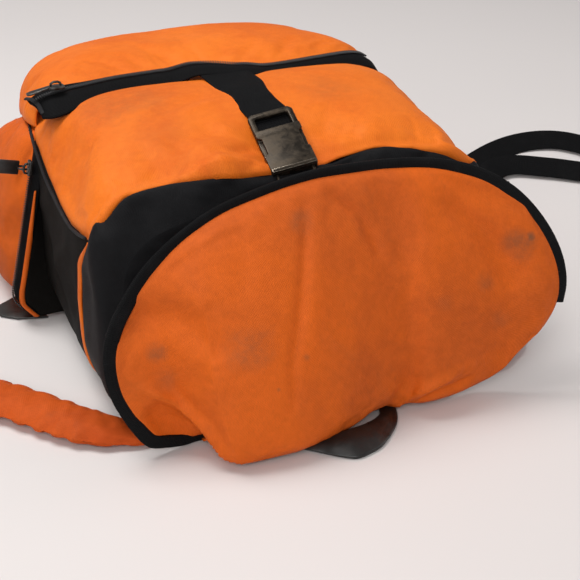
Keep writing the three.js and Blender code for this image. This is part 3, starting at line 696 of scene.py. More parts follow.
def front_grid(rows, columns):
    """The front panel between its pipings, from the collar's seam to the base seam."""
    table = np.stack([cut_section(k, piping_z(y), columns) for k, y in enumerate(SECTION_Y)])
    out = np.empty((rows, columns, 3))
    for j in range(columns):
        x = np.interp(60, SECTION_Y, table[:, j, 0])
        y = np.linspace(seam_y(np.clip(x, -147, 147)), BASE_SEAM_Y, rows)
        for c in (0, 2):
            out[:, j, c] = np.interp(y, SECTION_Y, table[:, j, c])
        out[:, j, 1] = y
    return out[:, ::-1]


front = front_grid(150, 190)
lift = (seam_z(front[0, :, 0]) - front[0, :, 2]) * (1 - smooth(np.abs(front[0, :, 0]), 120, 146))
front[..., 2] += lift[None] * (1 - smooth(front[..., 1] - front[:1, :, 1], 0, 60))
front = settle(front, 1.2, 0.02, 5)


def wrinkled_front(p):
    """The front panel's sheet with its seams, creases and the hollow under the buckle."""
    offsets = shut(p, {"start", "right", "left"}, 1.6, 6)
    offsets += 1.4 * field(p, 75, 3.1) + 0.7 * field(p, 34, 7.7)
    for start, end, depth, width in (
            ((-132, 80, 160), (-100, 190, 184), 1.6, 8), ((-120, 96, 166), (-112, 190, 184), -1.6, 7),
            ((-26, 152, 189), (-64, 136, 187), 3.0, 5), ((-40, 178, 190), (-104, 148, 184), 2.0, 5),
            ((-26, 166, 190), (-84, 143, 187), -2.4, 7), ((-36, 114, 187), (-86, 94, 183), -4.0, 12),
            ((-18, 86, 182), (-56, 79, 180), -2.2, 4), ((-18, 76, 180), (-62, 69, 177), 2.0, 4),
            ((-24, 68, 176), (-58, 63, 173), -1.6, 3), ((-24, 106, 185), (-66, 116, 187), 1.6, 5),
            ((-92, 92, 178), (-124, 70, 166), 2.0, 7), ((92, 212, 188), (139, 84, 158), 2.6, 6),
            ((104, 200, 187), (142, 110, 160), -2.0, 5), ((112, 150, 182), (134, 76, 158), 1.6, 4),
            ((22, 100, 183), (64, 84, 179), -2.6, 8), ((24, 122, 186), (52, 126, 187), 1.4, 4),
            ((64, 76, 174), (96, 150, 186), 1.8, 8), ((40, 200, 189), (90, 176, 188), 1.2, 8)):
        offsets += crease(p, start, end, depth, width)
    offsets -= 6.5 * np.exp(-(np.linalg.norm(p - [-2, 92, 184], axis=-1) / 24) ** 2)
    gathers = np.sin(p[..., 0] / 4.6 + 2.2 * field(p, 40, 1.7))
    offsets += 0.55 * gathers * np.exp(-(p[..., 1] - p[:1, :, 1]) / 11)
    return push(p, offsets)


sheet_piece("front_cloth", wrinkled_front(front), 1.5, "root", orange, ("front_panel",))


# ---------- side gussets and stripes ----------
HEM_Z = 1.4                            # the height of the sides' lower edges


def side_strip(side, y_low, y_high, z_top, rows, columns):
    """Part of one side between two seams given as y at a height; z_top gives the upper edge at a y."""
    half = len(TURNS) // 2
    out = np.empty((rows, columns, 3))
    for i in range(rows):
        f = i / (rows - 1)
        for j in range(columns):
            g = j / (columns - 1)
            z = HEM_Z
            for _ in range(4):
                y = y_low(z) + (y_high(z) - y_low(z)) * g
                z = HEM_Z + (z_top(y) - HEM_Z) * f
            y = y_low(z) + (y_high(z) - y_low(z)) * g
            k = np.clip(np.interp(y, SECTION_Y, np.arange(len(SECTION_Y))), 0, len(SECTION_Y) - 1.001)
            k0 = int(k)
            line = SECTIONS[k0] * (1 - k + k0) + SECTIONS[k0 + 1] * (k - k0)
            x = np.interp(z, line[: half + 1, 2], line[: half + 1, 0])
            out[i, j] = (side * x, y, z)
    return out if side > 0 else out[:, ::-1]


STRIPE = 8.5                           # the orange stripe's width


def stripe_end_y(z):
    """Where the stripe beside the collar ends, at a height."""
    return side_seam_y(z) + STRIPE * (0.3 + 0.7 * smooth(-z, -137, -112))


for side, word in SIDES:
    stripe = side_strip(side, side_seam_y, stripe_end_y, lambda y: 137, 90, 8)
    stripe = push(stripe, 0.5 + shut(stripe, {"right", "left"}, 0.8, 2) + 0.5 * field(stripe, 30, 2.0))
    sheet_piece(f"stripe_{word}", stripe, 1.2, "root", orange, (f"side_stripe_{word}",))

    gusset = side_strip(side, stripe_end_y, lambda z: BASE_SEAM_Y, piping_z, 70, 150)
    bend = shut(gusset, {"start", "end", "right", "left"}, 1.4, 5) + 1.3 * field(gusset, 60, 5.0)
    for start, end, depth, width in (
            ((-152, 110, 120), (-150, 190, 60), 2.2, 9), ((-152, 130, 40), (-152, 210, 90), -2.0, 10),
            ((-152, 100, 84), (-152, 150, 20), -1.6, 8), ((-152, 170, 132), (-152, 225, 100), 1.8, 8)):
        bend += crease(gusset, (-side * start[0], *start[1:]), (-side * end[0], *end[1:]), depth, width)
    sheet_piece(f"gusset_{word}", push(gusset, bend), 1.5,
                "root", coated_cloth, (f"side_gusset_{word}",))


# ---------- back panel and base panel ----------
def back_height(x, y):
    """The back panel lies on the floor and rises at its sides, more so near the mouth."""
    near_mouth = smooth(abs(x), 80, 106) * (1 - smooth(y, 60, 95))
    return 1.0 + 10.0 * smooth(abs(x), 104, 140) + 8.0 * near_mouth


back = np.array([[(x, y, back_height(x, y)) for x in np.linspace(-139, 139, 71)]
                 for y in np.linspace(36, 386, 70)])
back[..., 0] *= 1 - 0.16 * smooth(back[..., 1:2].mean(-1), 300, 400) * smooth(np.abs(back[..., 0]), 60, 150)
back_cloth = thicken(grid("back_cloth", back), 1.2, offset=1.0)
finish_piece(back_cloth, "root", black_cloth, ("back_panel",))

# The base starts at the base seam, follows the skin over its last stations and closes across the end
BASE_STATION, STATIONS_LEFT = 8.93, 1.07
around = np.linspace(-math.pi / 2, 1.5 * math.pi, 160, endpoint=False)
base_rings = [skin_at(np.full(160, BASE_STATION + STATIONS_LEFT * f), around) for f in np.linspace(0, 1, 26)]
last = base_rings[-1]
middle = last.mean(0)
for f in np.linspace(0.12, 0.97, 10):
    ring = last + (middle - last) * f
    ring[:, 1] += 4 * math.sin(f * math.pi / 2)
    base_rings.append(ring)
base = np.array(base_rings)
base = push(base, -(1.2 * field(base, 45, 4.0)))
base_cloth = grid("base_cloth", base, wrap=True, flip=True)
finish_piece(base_cloth, "root", coated_cloth, ("base_panel",))


# ---------- the collar ----------
def collar_grid():
    """The collar, from its seams to the mouth."""
    rows, columns = 60, 260
    turns = np.linspace(-0.30 * math.pi, 1.30 * math.pi, columns)
    out = np.empty((rows, columns, 3))
    for j, turn in enumerate(turns):
        column = skin_at(T_STEPS, np.full(len(T_STEPS), turn))
        seam = np.where(column[:, 2] > 140, seam_y(column[:, 0]), side_seam_y(column[:, 2]))
        past = np.argmax(column[:, 1] > seam)
        k = np.linspace(past, 0, rows)
        for c in range(3):
            out[:, j, c] = np.interp(k, np.arange(len(column)), column[:, c])
    return out


collar = collar_grid()
to_seam = seam_z(collar[0, :, 0]) - collar[0, :, 2]
rise = np.where(collar[0, :, 2] > 142, to_seam * (1 - smooth(np.abs(collar[0, :, 0]), 120, 146)), 0)
collar[..., 2] += rise[None] * (1 - smooth(np.linspace(0, 1, len(collar)), 0.0, 0.9))[:, None]
folds = np.zeros(collar.shape[:2])
for start, end, depth, width in (
        ((-58, 62, 172), (-50, 40, 158), -5.0, 7), ((-72, 60, 172), (-80, 30, 150), 2.6, 9),
        ((-34, 58, 170), (-30, 34, 160), 2.4, 8), ((-112, 62, 168), (-120, 26, 134), -2.6, 10),
        ((-142, 62, 150), (-140, 24, 110), 2.4, 11), ((-150, 84, 110), (-146, 30, 70), -2.6, 12),
        ((-151, 90, 60), (-148, 24, 40), 2.2, 12), ((-150, 88, 84), (-150, 40, 96), 2.0, 9),
        ((40, 68, 172), (36, 40, 160), -3.0, 8), ((66, 70, 174), (72, 40, 158), 2.6, 9),
        ((96, 64, 170), (104, 36, 150), -3.0, 9), ((124, 60, 160), (132, 30, 134), 2.4, 10),
        ((148, 84, 110), (146, 30, 80), -2.4, 12), ((150, 88, 60), (148, 30, 40), 2.2, 12)):
    folds += crease(collar, start, end, depth, width, 0.2)
depth_in = run_lengths(collar)
turn_at = np.linspace(0, 1, collar.shape[1])[None, :]
pleats = np.sin(turn_at * 2 * math.pi * 15 + 1.4 * np.sin(turn_at * 17))
folds += 1.6 * pleats * smooth(depth_in, 22, 75)
folds += 1.6 * field(collar, 50, 9.0) - 1.4 * np.exp(-depth_in / 3.5)
collar = push(collar, folds)
mouth = [collar[-1]]
for f in np.linspace(0.1, 1, 12):
    ring = collar[-1].copy()
    ring[:, 0] *= 1 - 0.34 * f
    ring[:, 2] = 78 + (ring[:, 2] - 78) * (1 - 0.34 * f)
    ring[:, 1] += 9 * f - 3 * math.sin(math.pi * f) + 2.0 * pleats[0] * f
    mouth.append(ring)
collar = np.concatenate([collar, np.array(mouth[1:])])
sheet_piece("collar_cloth", collar, 1.2, "root", black_cloth, ("collar",))

# ---------- the front pocket and its zip ----------
ZIP_TOP = spline([
    (-150, 241, 181), (-140, 240, 187), (-124, 241, 189.5), (-105, 241, 190.5), (-63, 243, 192),
    (-13, 243, 192), (20, 232, 190), (63, 230, 190), (95, 236, 190), (122, 243, 188), (136, 246, 181)], 140)
ZIP_BOTTOM = spline([
    (-146, 205, 178), (-141, 197, 181), (-132, 196, 183), (-115, 203, 185), (-89, 214, 187),
    (-56, 216, 188), (-16, 214, 188.5), (18, 204, 187.5), (55, 206, 187.5), (100, 212, 186),
    (128, 216, 181), (138, 220, 174)], 140)
band = np.empty((18, 140, 3))
for i in range(18):
    f = i / 17
    band[i] = ZIP_BOTTOM + (ZIP_TOP - ZIP_BOTTOM) * f
    band[i, :, 2] += 2.6 * math.sin(math.pi * min(1, f * 1.15))
    band[i, :, 2] += 5.0 * (1 - smooth(np.abs(band[i, :, 0]), 19, 40)) * (1 - 0.6 * f)
band = push(band, 0.5 * field(band, 26, 2.5))
sheet_piece("front_zip_band", band, 1.4, "root", webbing_cloth, ("front_zip_tape",))

# A grey strip on the zip band's folded left end: a painted highlight on the fold of the black tape.
zip_end_highlight_line = spline([(-150.5, 243, 182), (-148, 232, 184.5), (-146, 219, 184.5), (-145, 208, 181)], 30)
rim = ribbon("front_zip_end_painted_highlight", zip_end_highlight_line, (0.9, 0, 0.45), 3.2, 1.6, power=0.8)
finish_piece(rim, "root", piping_cloth)


def zip_teeth(name, line, up, pitch, length, radius):
    """A coil zip's teeth: a short bar across the line at every pitch."""
    line = resample(line, int(run_lengths(line)[-1] / pitch))
    along = tangents(line)
    across = unit(np.cross(along, up))
    vertices, faces = [], []
    for i, (p, a, w) in enumerate(zip(line, along, across)):
        lift = np.cross(w, a)
        lean = w + 0.25 * a
        for s in (-1, 1):
            for turn in range(6):
                ang = turn * math.pi / 3
                spoke = math.cos(ang) * a + 1.3 * math.sin(ang) * lift
                vertices.append(p + s * lean * length / 2 + radius * spoke)
        b = 12 * i
        faces += [(b + k, b + (k + 1) % 6, b + 6 + (k + 1) % 6, b + 6 + k) for k in range(6)]
        faces += [tuple(b + k for k in range(5, -1, -1)), tuple(b + 6 + k for k in range(6))]
    return mesh(name, np.array(vertices), faces)


coil_line = band[12] + normals(band)[12] * 1.2
front_coil = zip_teeth("front_coil", coil_line[3:-3], np.array([0, -0.1, 1.0]), 1.9, 4.6, 0.62)
finish_piece(front_coil, "root", black_plastic, ("front_zip_coil",))

POCKET = np.array([  # y, half width, highest, squareness
    (236, 146, 190, 7), (262, 149, 194, 6), (300, 147, 193, 5), (350, 139, 186, 4.4), (380, 126, 170, 4),
    (394, 106, 146, 3.6)], float)


def pocket_grid(rows, columns):
    """The front pocket's sheet over the zip band, from one side's piping to the other's."""
    key = spline(POCKET, rows)
    out = np.empty((rows, columns, 3))
    turns = np.linspace(0, math.pi, 721)
    for i, (y, half, high, power) in enumerate(key):
        x = half * np.sign(np.cos(turns)) * np.abs(np.cos(turns)) ** (2 / power)
        z = BELT + (high - BELT) * np.abs(np.sin(turns)) ** (2 / power)
        lip = piping_z(y) + 5
        keep = z >= lip
        out[i] = resample(np.stack([x[keep], np.full(keep.sum(), y), z[keep]], 1), columns)
    return out[:, ::-1]


pocket = pocket_grid(110, 190)
edge_y = np.interp(pocket[:, :, 0], ZIP_TOP[:, 0], ZIP_TOP[:, 1])
pull_in = np.clip(edge_y - 236, -14, 14) * (1 - smooth(pocket[..., 1], 236, 280))
pull_in = pull_in * smooth(pocket[..., 2], 160, 185)
pull_back = 20 * (1 - smooth(pocket[..., 2], 164, 182)) * (1 - smooth(pocket[..., 1], 236, 290))
pocket[..., 1] += pull_in + pull_back
pocket = settle(pocket, 1.5, 0.018, 5)
swell = shut(pocket, {"right", "left"}, 1.8, 6) + shut(pocket, {"start"}, 2.2, 5)
swell += 1.8 * field(pocket, 80, 6.0) + 0.8 * field(pocket, 30, 8.0)
for start, end, depth, width in (
        ((-120, 250, 190), (-60, 330, 188), 1.8, 9), ((-40, 246, 193), (10, 330, 190), -1.6, 10),
        ((60, 240, 192), (40, 320, 190), 1.8, 9), ((110, 250, 190), (90, 330, 186), -1.6, 9)):
    swell += crease(pocket, start, end, depth, width)
sheet_piece("pocket_cloth", push(pocket, swell), 1.4, "root", orange, ("front_pocket",))

# ---------- the lid ----------
LID_RIM = [(-118, 4, 8.5), (-133, 3, 15), (-149, 11, 44), (-153, 16, 68), (-149, 21, 88), (-136, 27, 108),
           (-116, 33, 129), (-87, 37, 148), (-57, 40, 160), (-5, 43, 170), (40, 42, 172), (84, 38, 170),
           (120, 30, 162), (148, 19, 146), (167, 7, 123), (177, -4, 98), (178, -10, 74), (170, -11, 53),
           (155, -11, 38)]
LID_HEM = [(-118, 4, 8.5), (-104, 10, 6), (-90, 11, 5), (-83, 6, 7), (-81, -14, 4), (-79, -27, 2.6),
           (-75, -30.5, 2.4), (-62, -31.5, 2.5), (-40, -31.5, 3), (-18, -26, 3.5), (5, -17, 3), (26, -6, 3.5),
           (49, 1, 3), (60, -8, 3), (72, -10, 4), (92, -8, 4), (113, -5, 6), (128, -8, 13), (140, -10, 24),
           (155, -11, 38)]
LID_ROWS, LID_COLUMNS = 92, 150
bound = spline(LID_RIM, 600)
floor_line = spline(LID_HEM, 400)
LEFT_CUT, RIGHT_CUT = 0.215, 0.80       # shares of the way along the rim where its top edge begins and ends


def share(points, a, b, count):
    """Points of a line between two shares of its way."""
    at = np.linspace(a, b, count) * (len(points) - 1)
    return np.stack([np.interp(at, np.arange(len(points)), c) for c in points.T], 1)


left_edge = share(bound, 0, LEFT_CUT, LID_ROWS)
top_edge = share(bound, LEFT_CUT, RIGHT_CUT, LID_COLUMNS)
right_edge = share(bound, 1, RIGHT_CUT, LID_ROWS)
bottom_edge = share(floor_line, 0, 1, LID_COLUMNS)
u = np.linspace(0, 1, LID_COLUMNS)[None, :, None]
v = np.linspace(0, 1, LID_ROWS)[:, None, None]
lid = ((1 - v) * bottom_edge[None] + v * top_edge[None]
       + (1 - u) * left_edge[:, None] + u * right_edge[:, None]
       - (1 - u) * (1 - v) * bottom_edge[0] - u * (1 - v) * bottom_edge[-1]
       - (1 - u) * v * top_edge[0] - u * v * top_edge[-1])
uu, vv = u[..., 0], v[..., 0]
bulge = 26 * (4 * uu * (1 - uu)) ** 0.6 * (4 * vv * (1 - vv)) ** 0.55 * (1.15 - 0.35 * vv)
lid[..., 1] -= bulge
lid[..., 2] = np.maximum(lid[..., 2], 2.2)
lid = settle(lid, 0.5, 0.014, 4)


def lid_places(shares):
    """Places on the lid, from shares of the way across it and up it."""
    return [lid[int(up * (LID_ROWS - 1)), int(over * (LID_COLUMNS - 1))] for over, up in shares]


shape = 1.2 * field(lid, 80, 3.0) + 0.5 * field(lid, 32, 6.0)
for shares, depth, width in (
        ([(0.02, 0.78), (0.09, 0.78), (0.17, 0.70), (0.21, 0.62), (0.28, 0.50)], -4.5, 11),
        ([(0.05, 0.50), (0.07, 0.43), (0.11, 0.31), (0.165, 0.22), (0.20, 0.13), (0.235, 0.03)], 6.5, 4.2),
        ([(0.05, 0.38), (0.08, 0.23), (0.12, 0.13), (0.165, 0.05)], -5.5, 8),
        ([(0.46, 0.97), (0.44, 0.80), (0.40, 0.57), (0.37, 0.43), (0.36, 0.30), (0.32, 0.20)], -2.6, 4),
        ([(0.49, 0.97), (0.475, 0.80), (0.43, 0.57), (0.41, 0.40)], 1.3, 8),
        ([(0.51, 0.97), (0.52, 0.94), (0.55, 0.89), (0.57, 0.85), (0.585, 0.76), (0.60, 0.66)], -3.4, 4.2),
        ([(0.75, 0.92), (0.77, 0.85), (0.81, 0.78), (0.83, 0.71), (0.86, 0.62), (0.91, 0.48)], -4.0, 11),
        ([(0.60, 0.02), (0.64, 0.06), (0.67, 0.14), (0.71, 0.18), (0.76, 0.21)], 4.5, 4),
        ([(0.655, 0.02), (0.70, 0.09), (0.76, 0.12), (0.80, 0.15)], -4.5, 5),
        ([(0.15, 0.92), (0.20, 0.80), (0.24, 0.70)], 1.2, 9),
        ([(0.30, 0.95), (0.31, 0.80), (0.29, 0.66)], -1.0, 8),
        ([(0.66, 0.94), (0.67, 0.82), (0.69, 0.70)], -1.2, 7),
        ([(0.92, 0.40), (0.88, 0.28), (0.86, 0.16)], -2.0, 8)):
    shape += fold_line(lid, lid_places(shares), depth, width)
lid = push(lid, shape)
lid[..., 2] = np.maximum(lid[..., 2], 1.6)
# The lid takes the darker orange copy: painted shade.
sheet_piece("lid_cloth", lid, 1.2, LID_BEND, orange_lid, ("lid_panel",))

TAPE_START = [(-80.5, 7, 6.5), (-88, 9.5, 6), (-97, 8, 5.5), (-107, 6, 6)]
edge = resample(np.vstack([TAPE_START, bound[: int(0.94 * len(bound))]]), 260)
edge = spline(edge[::6], 260)
outward = unit(edge - np.array([10, 0, 84])) * [1, 0.15, 1]
tape_line = edge - [0, 0.9, 0] + 0.12 * field(edge, 30, 1.0)[:, None]
tape = ribbon("lid_binding_tape", tape_line, unit(outward), 10.2, 4.6, power=0.7, sides=18)
finish_piece(tape, LID_BEND, binding_cloth, ("lid_binding",))

# ---------- front strap and buckle ----------
tilt = (Matrix.Rotation(math.radians(BUCKLE_YAW), 4, "Z") @ Matrix.Rotation(math.radians(BUCKLE_ROLL), 4, "Y")
        @ Matrix.Rotation(math.radians(BUCKLE_PITCH), 4, "X"))
buckle_place = Matrix.Translation(place([BUCKLE_CENTRE])[0]) @ tilt


def on_bag(x, y, z):
    """The place on the bag of a place on the buckle."""
    p = buckle_place @ (Vector((x, y, z)) * 0.001)
    return (p.x * 1000, p.y * 1000 + ORIGIN_Y, p.z * 1000)


def in_place(obj):
    """Moves a part of the buckle to its place on the bag."""
    obj.data.transform(buckle_place)
    return obj


strap_line = spline([(0.5, 222, 191.5), (0.5, 208, 193), (0, 180, 194.5), (-1, 150, 195), (-1.5, 134, 194),
                     on_bag(0, 31, -4.9), on_bag(0, 24, -4.5), on_bag(0, 14, -4.4), on_bag(0, 4, -4.4)], 90)
at = np.linspace(0, 1, 90)
strap_across = np.stack([np.ones(90), -0.09 * at, 0.165 * np.minimum(1, at * 1.2)], 1)
strap_width = 38 - 8 * smooth(at, 0.3, 0.55)
front_webbing = ribbon("front_webbing", strap_line, strap_across, strap_width, 1.7, power=0.35, sides=22)
finish_piece(front_webbing, "root", webbing_cloth, ("front_strap",))

HALF, BAR = 17, 29      # the buckle's half width, and how far it reaches to either side of its middle
frame_outline = [(-HALF, 2), (HALF, 2), (HALF, BAR - 3), (HALF - 2.5, BAR), (-HALF + 2.5, BAR),
                 (-HALF, BAR - 3)]
window = rectangle(-HALF + 4.6, HALF - 4.6, 8, BAR - 4.8, 1.6)
ring = in_place(plate("buckle_ring", frame_outline, -3.4, 0.6, 1.2, [window], 3))
finish_piece(ring, "root", aged_metal, ("buckle_frame",))

cover_half = [(HALF - 1, -BAR), (HALF, -BAR + 1), (HALF, -14), (HALF - 1.2, -12.6), (HALF - 3.2, -11.6),
              (HALF - 3.2, 2.6), (HALF - 1.6, 3.8), (HALF, 4.6), (HALF, 10), (HALF - 1, 11)]
cover_outline = cover_half + [(-x, y) for x, y in cover_half[::-1]]
cover_top = plate("cover_top", cover_outline, 0.2, 2.6, 0.7, (), 3)
skirts = [plate(f"skirt_{k}", rectangle(*box), -4.6, 1.4, 0.5) for k, box in enumerate((
    (-HALF, -HALF + 1.9, -BAR + 0.6, -11.5), (HALF - 1.9, HALF, -BAR + 0.6, -11.5),
    (-HALF + 0.6, HALF - 0.6, -BAR, -BAR + 1.9)))]
lip_line = [(x, -BAR + 1.6 + ORIGIN_Y, 2.4) for x in np.linspace(-HALF + 1.4, HALF - 1.4, 12)]
lip = ribbon("cover_lip", lip_line, (0, 1, 0), 2.2, 1.6, power=1.0, sides=10)
cover = in_place(join("buckle_plate", [cover_top, *skirts, lip]))
finish_piece(cover, "buckle_cover", aged_metal, ("buckle_cover",))

for side, word in SIDES:
    arm = [(9.4, 3.2), (HALF - 1.2, 3.2), (HALF - 0.2, 2.0), (HALF, -3), (HALF - 0.4, -9.8),
           (HALF - 1.2, -11.4), (HALF - 3.4, -13.6), (HALF - 6.4, -16), (HALF - 7, -9), (HALF - 6.2, -4),
           (9.4, -2)]
    arm = [(side * x, y) for x, y in arm[::side]]
    prong = in_place(plate(f"prong_{word}", arm, -3.0, -0.1, 0.7))
    finish_piece(prong, f"prong_{word}", aged_metal, (f"buckle_prong_{word}",))

wire = spline([on_bag(-13, -BAR + 1, -2.2), on_bag(-13.2, -BAR - 2.5, -2.6), on_bag(-13.3, -BAR - 7, -4.6),
               (-14, 52, 161), (-12, 50, 158), (0, 50, 158), (11, 50, 158), (13, 52, 161.5),
               on_bag(13.3, -BAR - 7, -4.6), on_bag(13.2, -BAR - 2.5, -2.6), on_bag(13, -BAR + 1, -2.2)], 90)
loop = tube("wire_loop", wire, 1.25, 12)
finish_piece(loop, "buckle_cover", aged_metal, ("buckle_loop",))

tab_line = spline([(-1, 39, 138), (-1, 44, 147), (-1, 49, 157), (-1, 51, 159.4), (-1, 52, 157)], 24)
tab = ribbon("lid_loop_tab", tab_line, (1, 0, 0), 22, 1.4, power=0.35)
finish_piece(tab, "lid", webbing_cloth, ("lid_tab",))

# The cloth under the lid's hem, from the hem line back into the mouth
fold = np.empty((26, 60, 3))
fold[..., 0] = np.linspace(-94, 94, 60)
hem_y = np.minimum(0, np.interp(fold[0, :, 0], floor_line[:, 0], floor_line[:, 1]) + 3)
fold[..., 1] = hem_y + (44 - hem_y) * np.linspace(0, 1, 26)[:, None]
ripples = 1.6 * np.sin(fold[..., 0] / 13) * np.sin(fold[..., 1] / 9)
fold[..., 2] = 5.2 + ripples + 1.2 * np.cos(fold[..., 0] / 31)
fold[..., 2] += 7 * smooth(-fold[..., 1], -5, 9)
sheet_piece("lid_fold_cloth", fold, 1.2, "root", orange_lid, ("lid_fold",))

# ---------- grab handle ----------
OUTER = spline([(-44, -19, 2), (-34.6, -29.4, 2), (-23.6, -39.4, 2), (-12.6, -48.4, 2), (-1.6, -54.4, 2),
                (10.4, -52, 2), (22.4, -46.4, 2), (39.4, -29.4, 2), (48, -14, 2), (51, -1, 3)], 90)
INNER = spline([(-30, -16, 4), (-27, -26, 6), (-16, -31, 8), (-2.6, -30.5, 9), (14.4, -27.5, 8.5),
                (27, -21, 7), (35, -12.5, 5), (37, -2, 4)], 90)
strip = np.array([OUTER + (INNER - OUTER) * f for f in np.linspace(0, 1, 16)])
strip[..., 2] += 1.4 * np.sin(np.linspace(0, math.pi, 16))[:, None]
strip = push(strip, 0.35 * field(strip, 14, 2.0))
sheet_piece("handle_strip", strip, 3.0, "handle", black_leather, ("grab_handle",))
patch = np.array([[(x, y, 2.6 + 0.3 * math.sin(x / 7)) for x in np.linspace(-46, 58, 30)]
                  for y in np.linspace(-3, 24, 10)])
sheet_piece("handle_patch", patch, 2.0, "root", black_leather, ("handle_base",))

# ---------- shoulder straps ----------
# Routes over the floor: the stuffed pads, and the webbing from each pad's adjuster to its anchor leaf
PADS = {
    "left": [(-96, 24, 2.4), (-124, 26, 3.2), (-149, 34, 6), (-171, 51, 7.4), (-196, 82, 7.6),
             (-219, 109, 7.6), (-262, 158, 7.4), (-306, 206, 6.8)],
    "right": [(96, 22, 2.4), (126, 23, 3.2), (155, 34, 6), (180, 68, 7.4), (207, 130, 7.6), (246, 194, 7.6),
              (281, 254, 7.4), (307, 305, 6.8)]}
WEBBING = {
    "left": [(-302, 202, 5.5), (-318, 222, 5.5), (-334, 248, 2.4), (-326, 282, 2.2), (-285, 286, 2.2),
             (-240, 264, 2.2), (-196, 245, 3.4)],
    "right": [(304, 302, 6), (312.5, 317, 7), (328, 343, 9), (354, 349, 9.5), (386, 329, 9.5), (428, 300, 8),
              (460, 314, 7), (456, 360, 8), (428, 398, 8.5), (376, 402, 6), (300, 362, 2.8), (240, 300, 2.4),
              (196, 250, 3.4)]}
PAD_WIDTH, PAD_THICKNESS = 40, 13
WEBBING_WIDTH, WEBBING_THICKNESS = 25, 1.7
STAND = {"left": 0.0, "right": 0.50}       # how far a loop of webbing stands up on its edge, in radians


def pad(name, route):
    """A stuffed strap with a sewn-down edge on both sides."""
    centre = spline(route, 150)
    along = tangents(centre)
    across = unit(np.cross(along, [0, 0, 1.0]))
    t = np.linspace(0, 1, len(centre))
    grow = smooth(t, 0.0, 0.3)
    wide = PAD_WIDTH * (0.55 + 0.45 * grow) * (1 - 0.14 * smooth(t, 0.9, 1.0))
    thick = PAD_THICKNESS * (0.22 + 0.78 * smooth(t, 0.05, 0.3)) * (1 - 0.45 * smooth(t, 0.93, 1.0))
    sides = 40
    section = []
    for k in range(sides):
        turn = 2 * math.pi * k / sides
        c, s = math.cos(turn), math.sin(turn)
        section.append((math.copysign(abs(c) ** 0.8, c), math.copysign(abs(s) ** 0.9, s)))
    section = np.array(section)
    edge = 0.16 + 0.84 * np.sqrt(np.clip(1 - np.abs(section[:, 0]) ** 3.2, 0, 1))
    rings = (centre[:, None] + across[:, None] * (section[None, :, 0] * wide[:, None] / 2)[..., None]
             + np.array([0, 0, 1.0]) * (section[None, :, 1] * edge[None] * thick[:, None] / 2)[..., None])
    puckers = np.sin(t * 2 * math.pi * 17 + 1.3 * np.sin(t * 21))[:, None] * np.abs(section[None, :, 0]) ** 2
    puckers = puckers * np.where(across[:, 1:2] * section[None, :, 0] > 0, 0.35, 1.0)
    rings[..., 2] += 0.7 * puckers * grow[:, None] * np.sign(section[None, :, 1])
    rings += across[:, None] * (0.9 * puckers * np.sign(section[None, :, 0]))[..., None] * grow[:, None, None]
    rings[..., 2] += 0.6 * field(rings, 26, len(name) * 1.3) * grow[:, None]
    seam = np.abs(np.broadcast_to(section[None, :, 0], rings.shape[:2])) > 0.97
    seam[0] = seam[-1] = True
    rings = settle(rings, 2.5, 0.03, 4, wrap=True, sewn=seam)
    rings[..., 2] = np.maximum(rings[..., 2], 0.3)
    return strap_mesh(name, rings, centre, section[None, :, 0] * wide[:, None] / 2)


def ladder(name, end, heading):
    """A strap adjuster lying at the end of a pad: a plate with two slots."""
    made = plate(name, rectangle(-17, 17, -11, 11, 2), -2.2, 2.2, 0.8,
                 [rectangle(-13.4, 13.4, -8.2, -2.4, 1), rectangle(-13.4, 13.4, 2.4, 8.2, 1)])
    turn = Matrix.Rotation(math.atan2(heading[1], heading[0]) - math.pi / 2, 4, "Z")
    at = place([[end[0] + 12.5 * heading[0], end[1] + 12.5 * heading[1], 5.4]])[0]
    made.data.transform(Matrix.Translation(at) @ turn)
    return made


for side, word in SIDES:
    route = PADS[word]
    strap = pad(f"strap_pad_{word}", route)
    finish_piece(strap, "root", orange_pad, (f"shoulder_pad_{word}",))
    heading = unit(np.array(route[-1][:2]) - np.array(route[-2][:2]))
    lock = ladder(f"ladder_lock_{word}", route[-1], heading)
    finish_piece(lock, "root", black_plastic, (f"strap_adjuster_{word}",))
    line = spline(WEBBING[word], 220)
    line[:, 2] += np.clip(0.5 * np.sin(np.linspace(0, 19, 220)), 0, 1)
    flat = unit(np.cross(tangents(line), [0, 0.0, 1.0]))
    stand = STAND[word] * (1 - smooth(np.linspace(0, 1, 220), 0.62, 0.84))[:, None]
    stand = stand * np.tanh(3 * flat[:, 1:2])
    across = flat * np.cos(stand) + np.array([0, 0, 1.0]) * np.sin(stand)
    lower = ribbon(f"lower_webbing_{word}", line, across, WEBBING_WIDTH, WEBBING_THICKNESS, 0.35, sides=18)
    finish_piece(lower, "root", webbing_cloth, (f"lower_strap_{word}",))
    corners = np.array([(152, 224), (176, 230), (188, 240), (190, 256), (160, 276)], float) * [side, 1]
    outline = [(x, y - ORIGIN_Y) for x, y in corners[::side]]
    leaf = plate(f"anchor_leaf_{word}", outline, 0.4, 2.0, 0.5)
    finish_piece(leaf, "root", black_leather, (f"anchor_tab_{word}",))

# ---------- side pockets, piping, pulls ----------
SIDE_POCKET = np.array([  # y, how far out it stands, lowest, highest
    (230, 158, 12, 144), (242, 166, 9, 148), (262, 175, 3, 150), (320, 178, 2, 139), (365, 169, 5, 117),
    (391, 148, 26, 95)], float)
SIDE_ZIP = spline([(149.5, 146), (151, 140), (157.4, 112), (163.8, 84), (170.1, 56), (174, 39), (175.9, 30.5),
                   (175.4, 20), (166, 7.5)], 90)      # how far out and how high it runs
SIDE_SLIDER = (153.0, 131.2)


def skin_x(y, z):
    """How far out the body's side is at that height."""
    k = int(np.clip(np.interp(y, SECTION_Y, np.arange(len(SECTION_Y))), 0, len(SECTION_Y) - 1))
    quarter = SECTIONS[k][len(TURNS) // 8: len(TURNS) // 2 + 1]
    return np.interp(z, quarter[:, 2], quarter[:, 0])


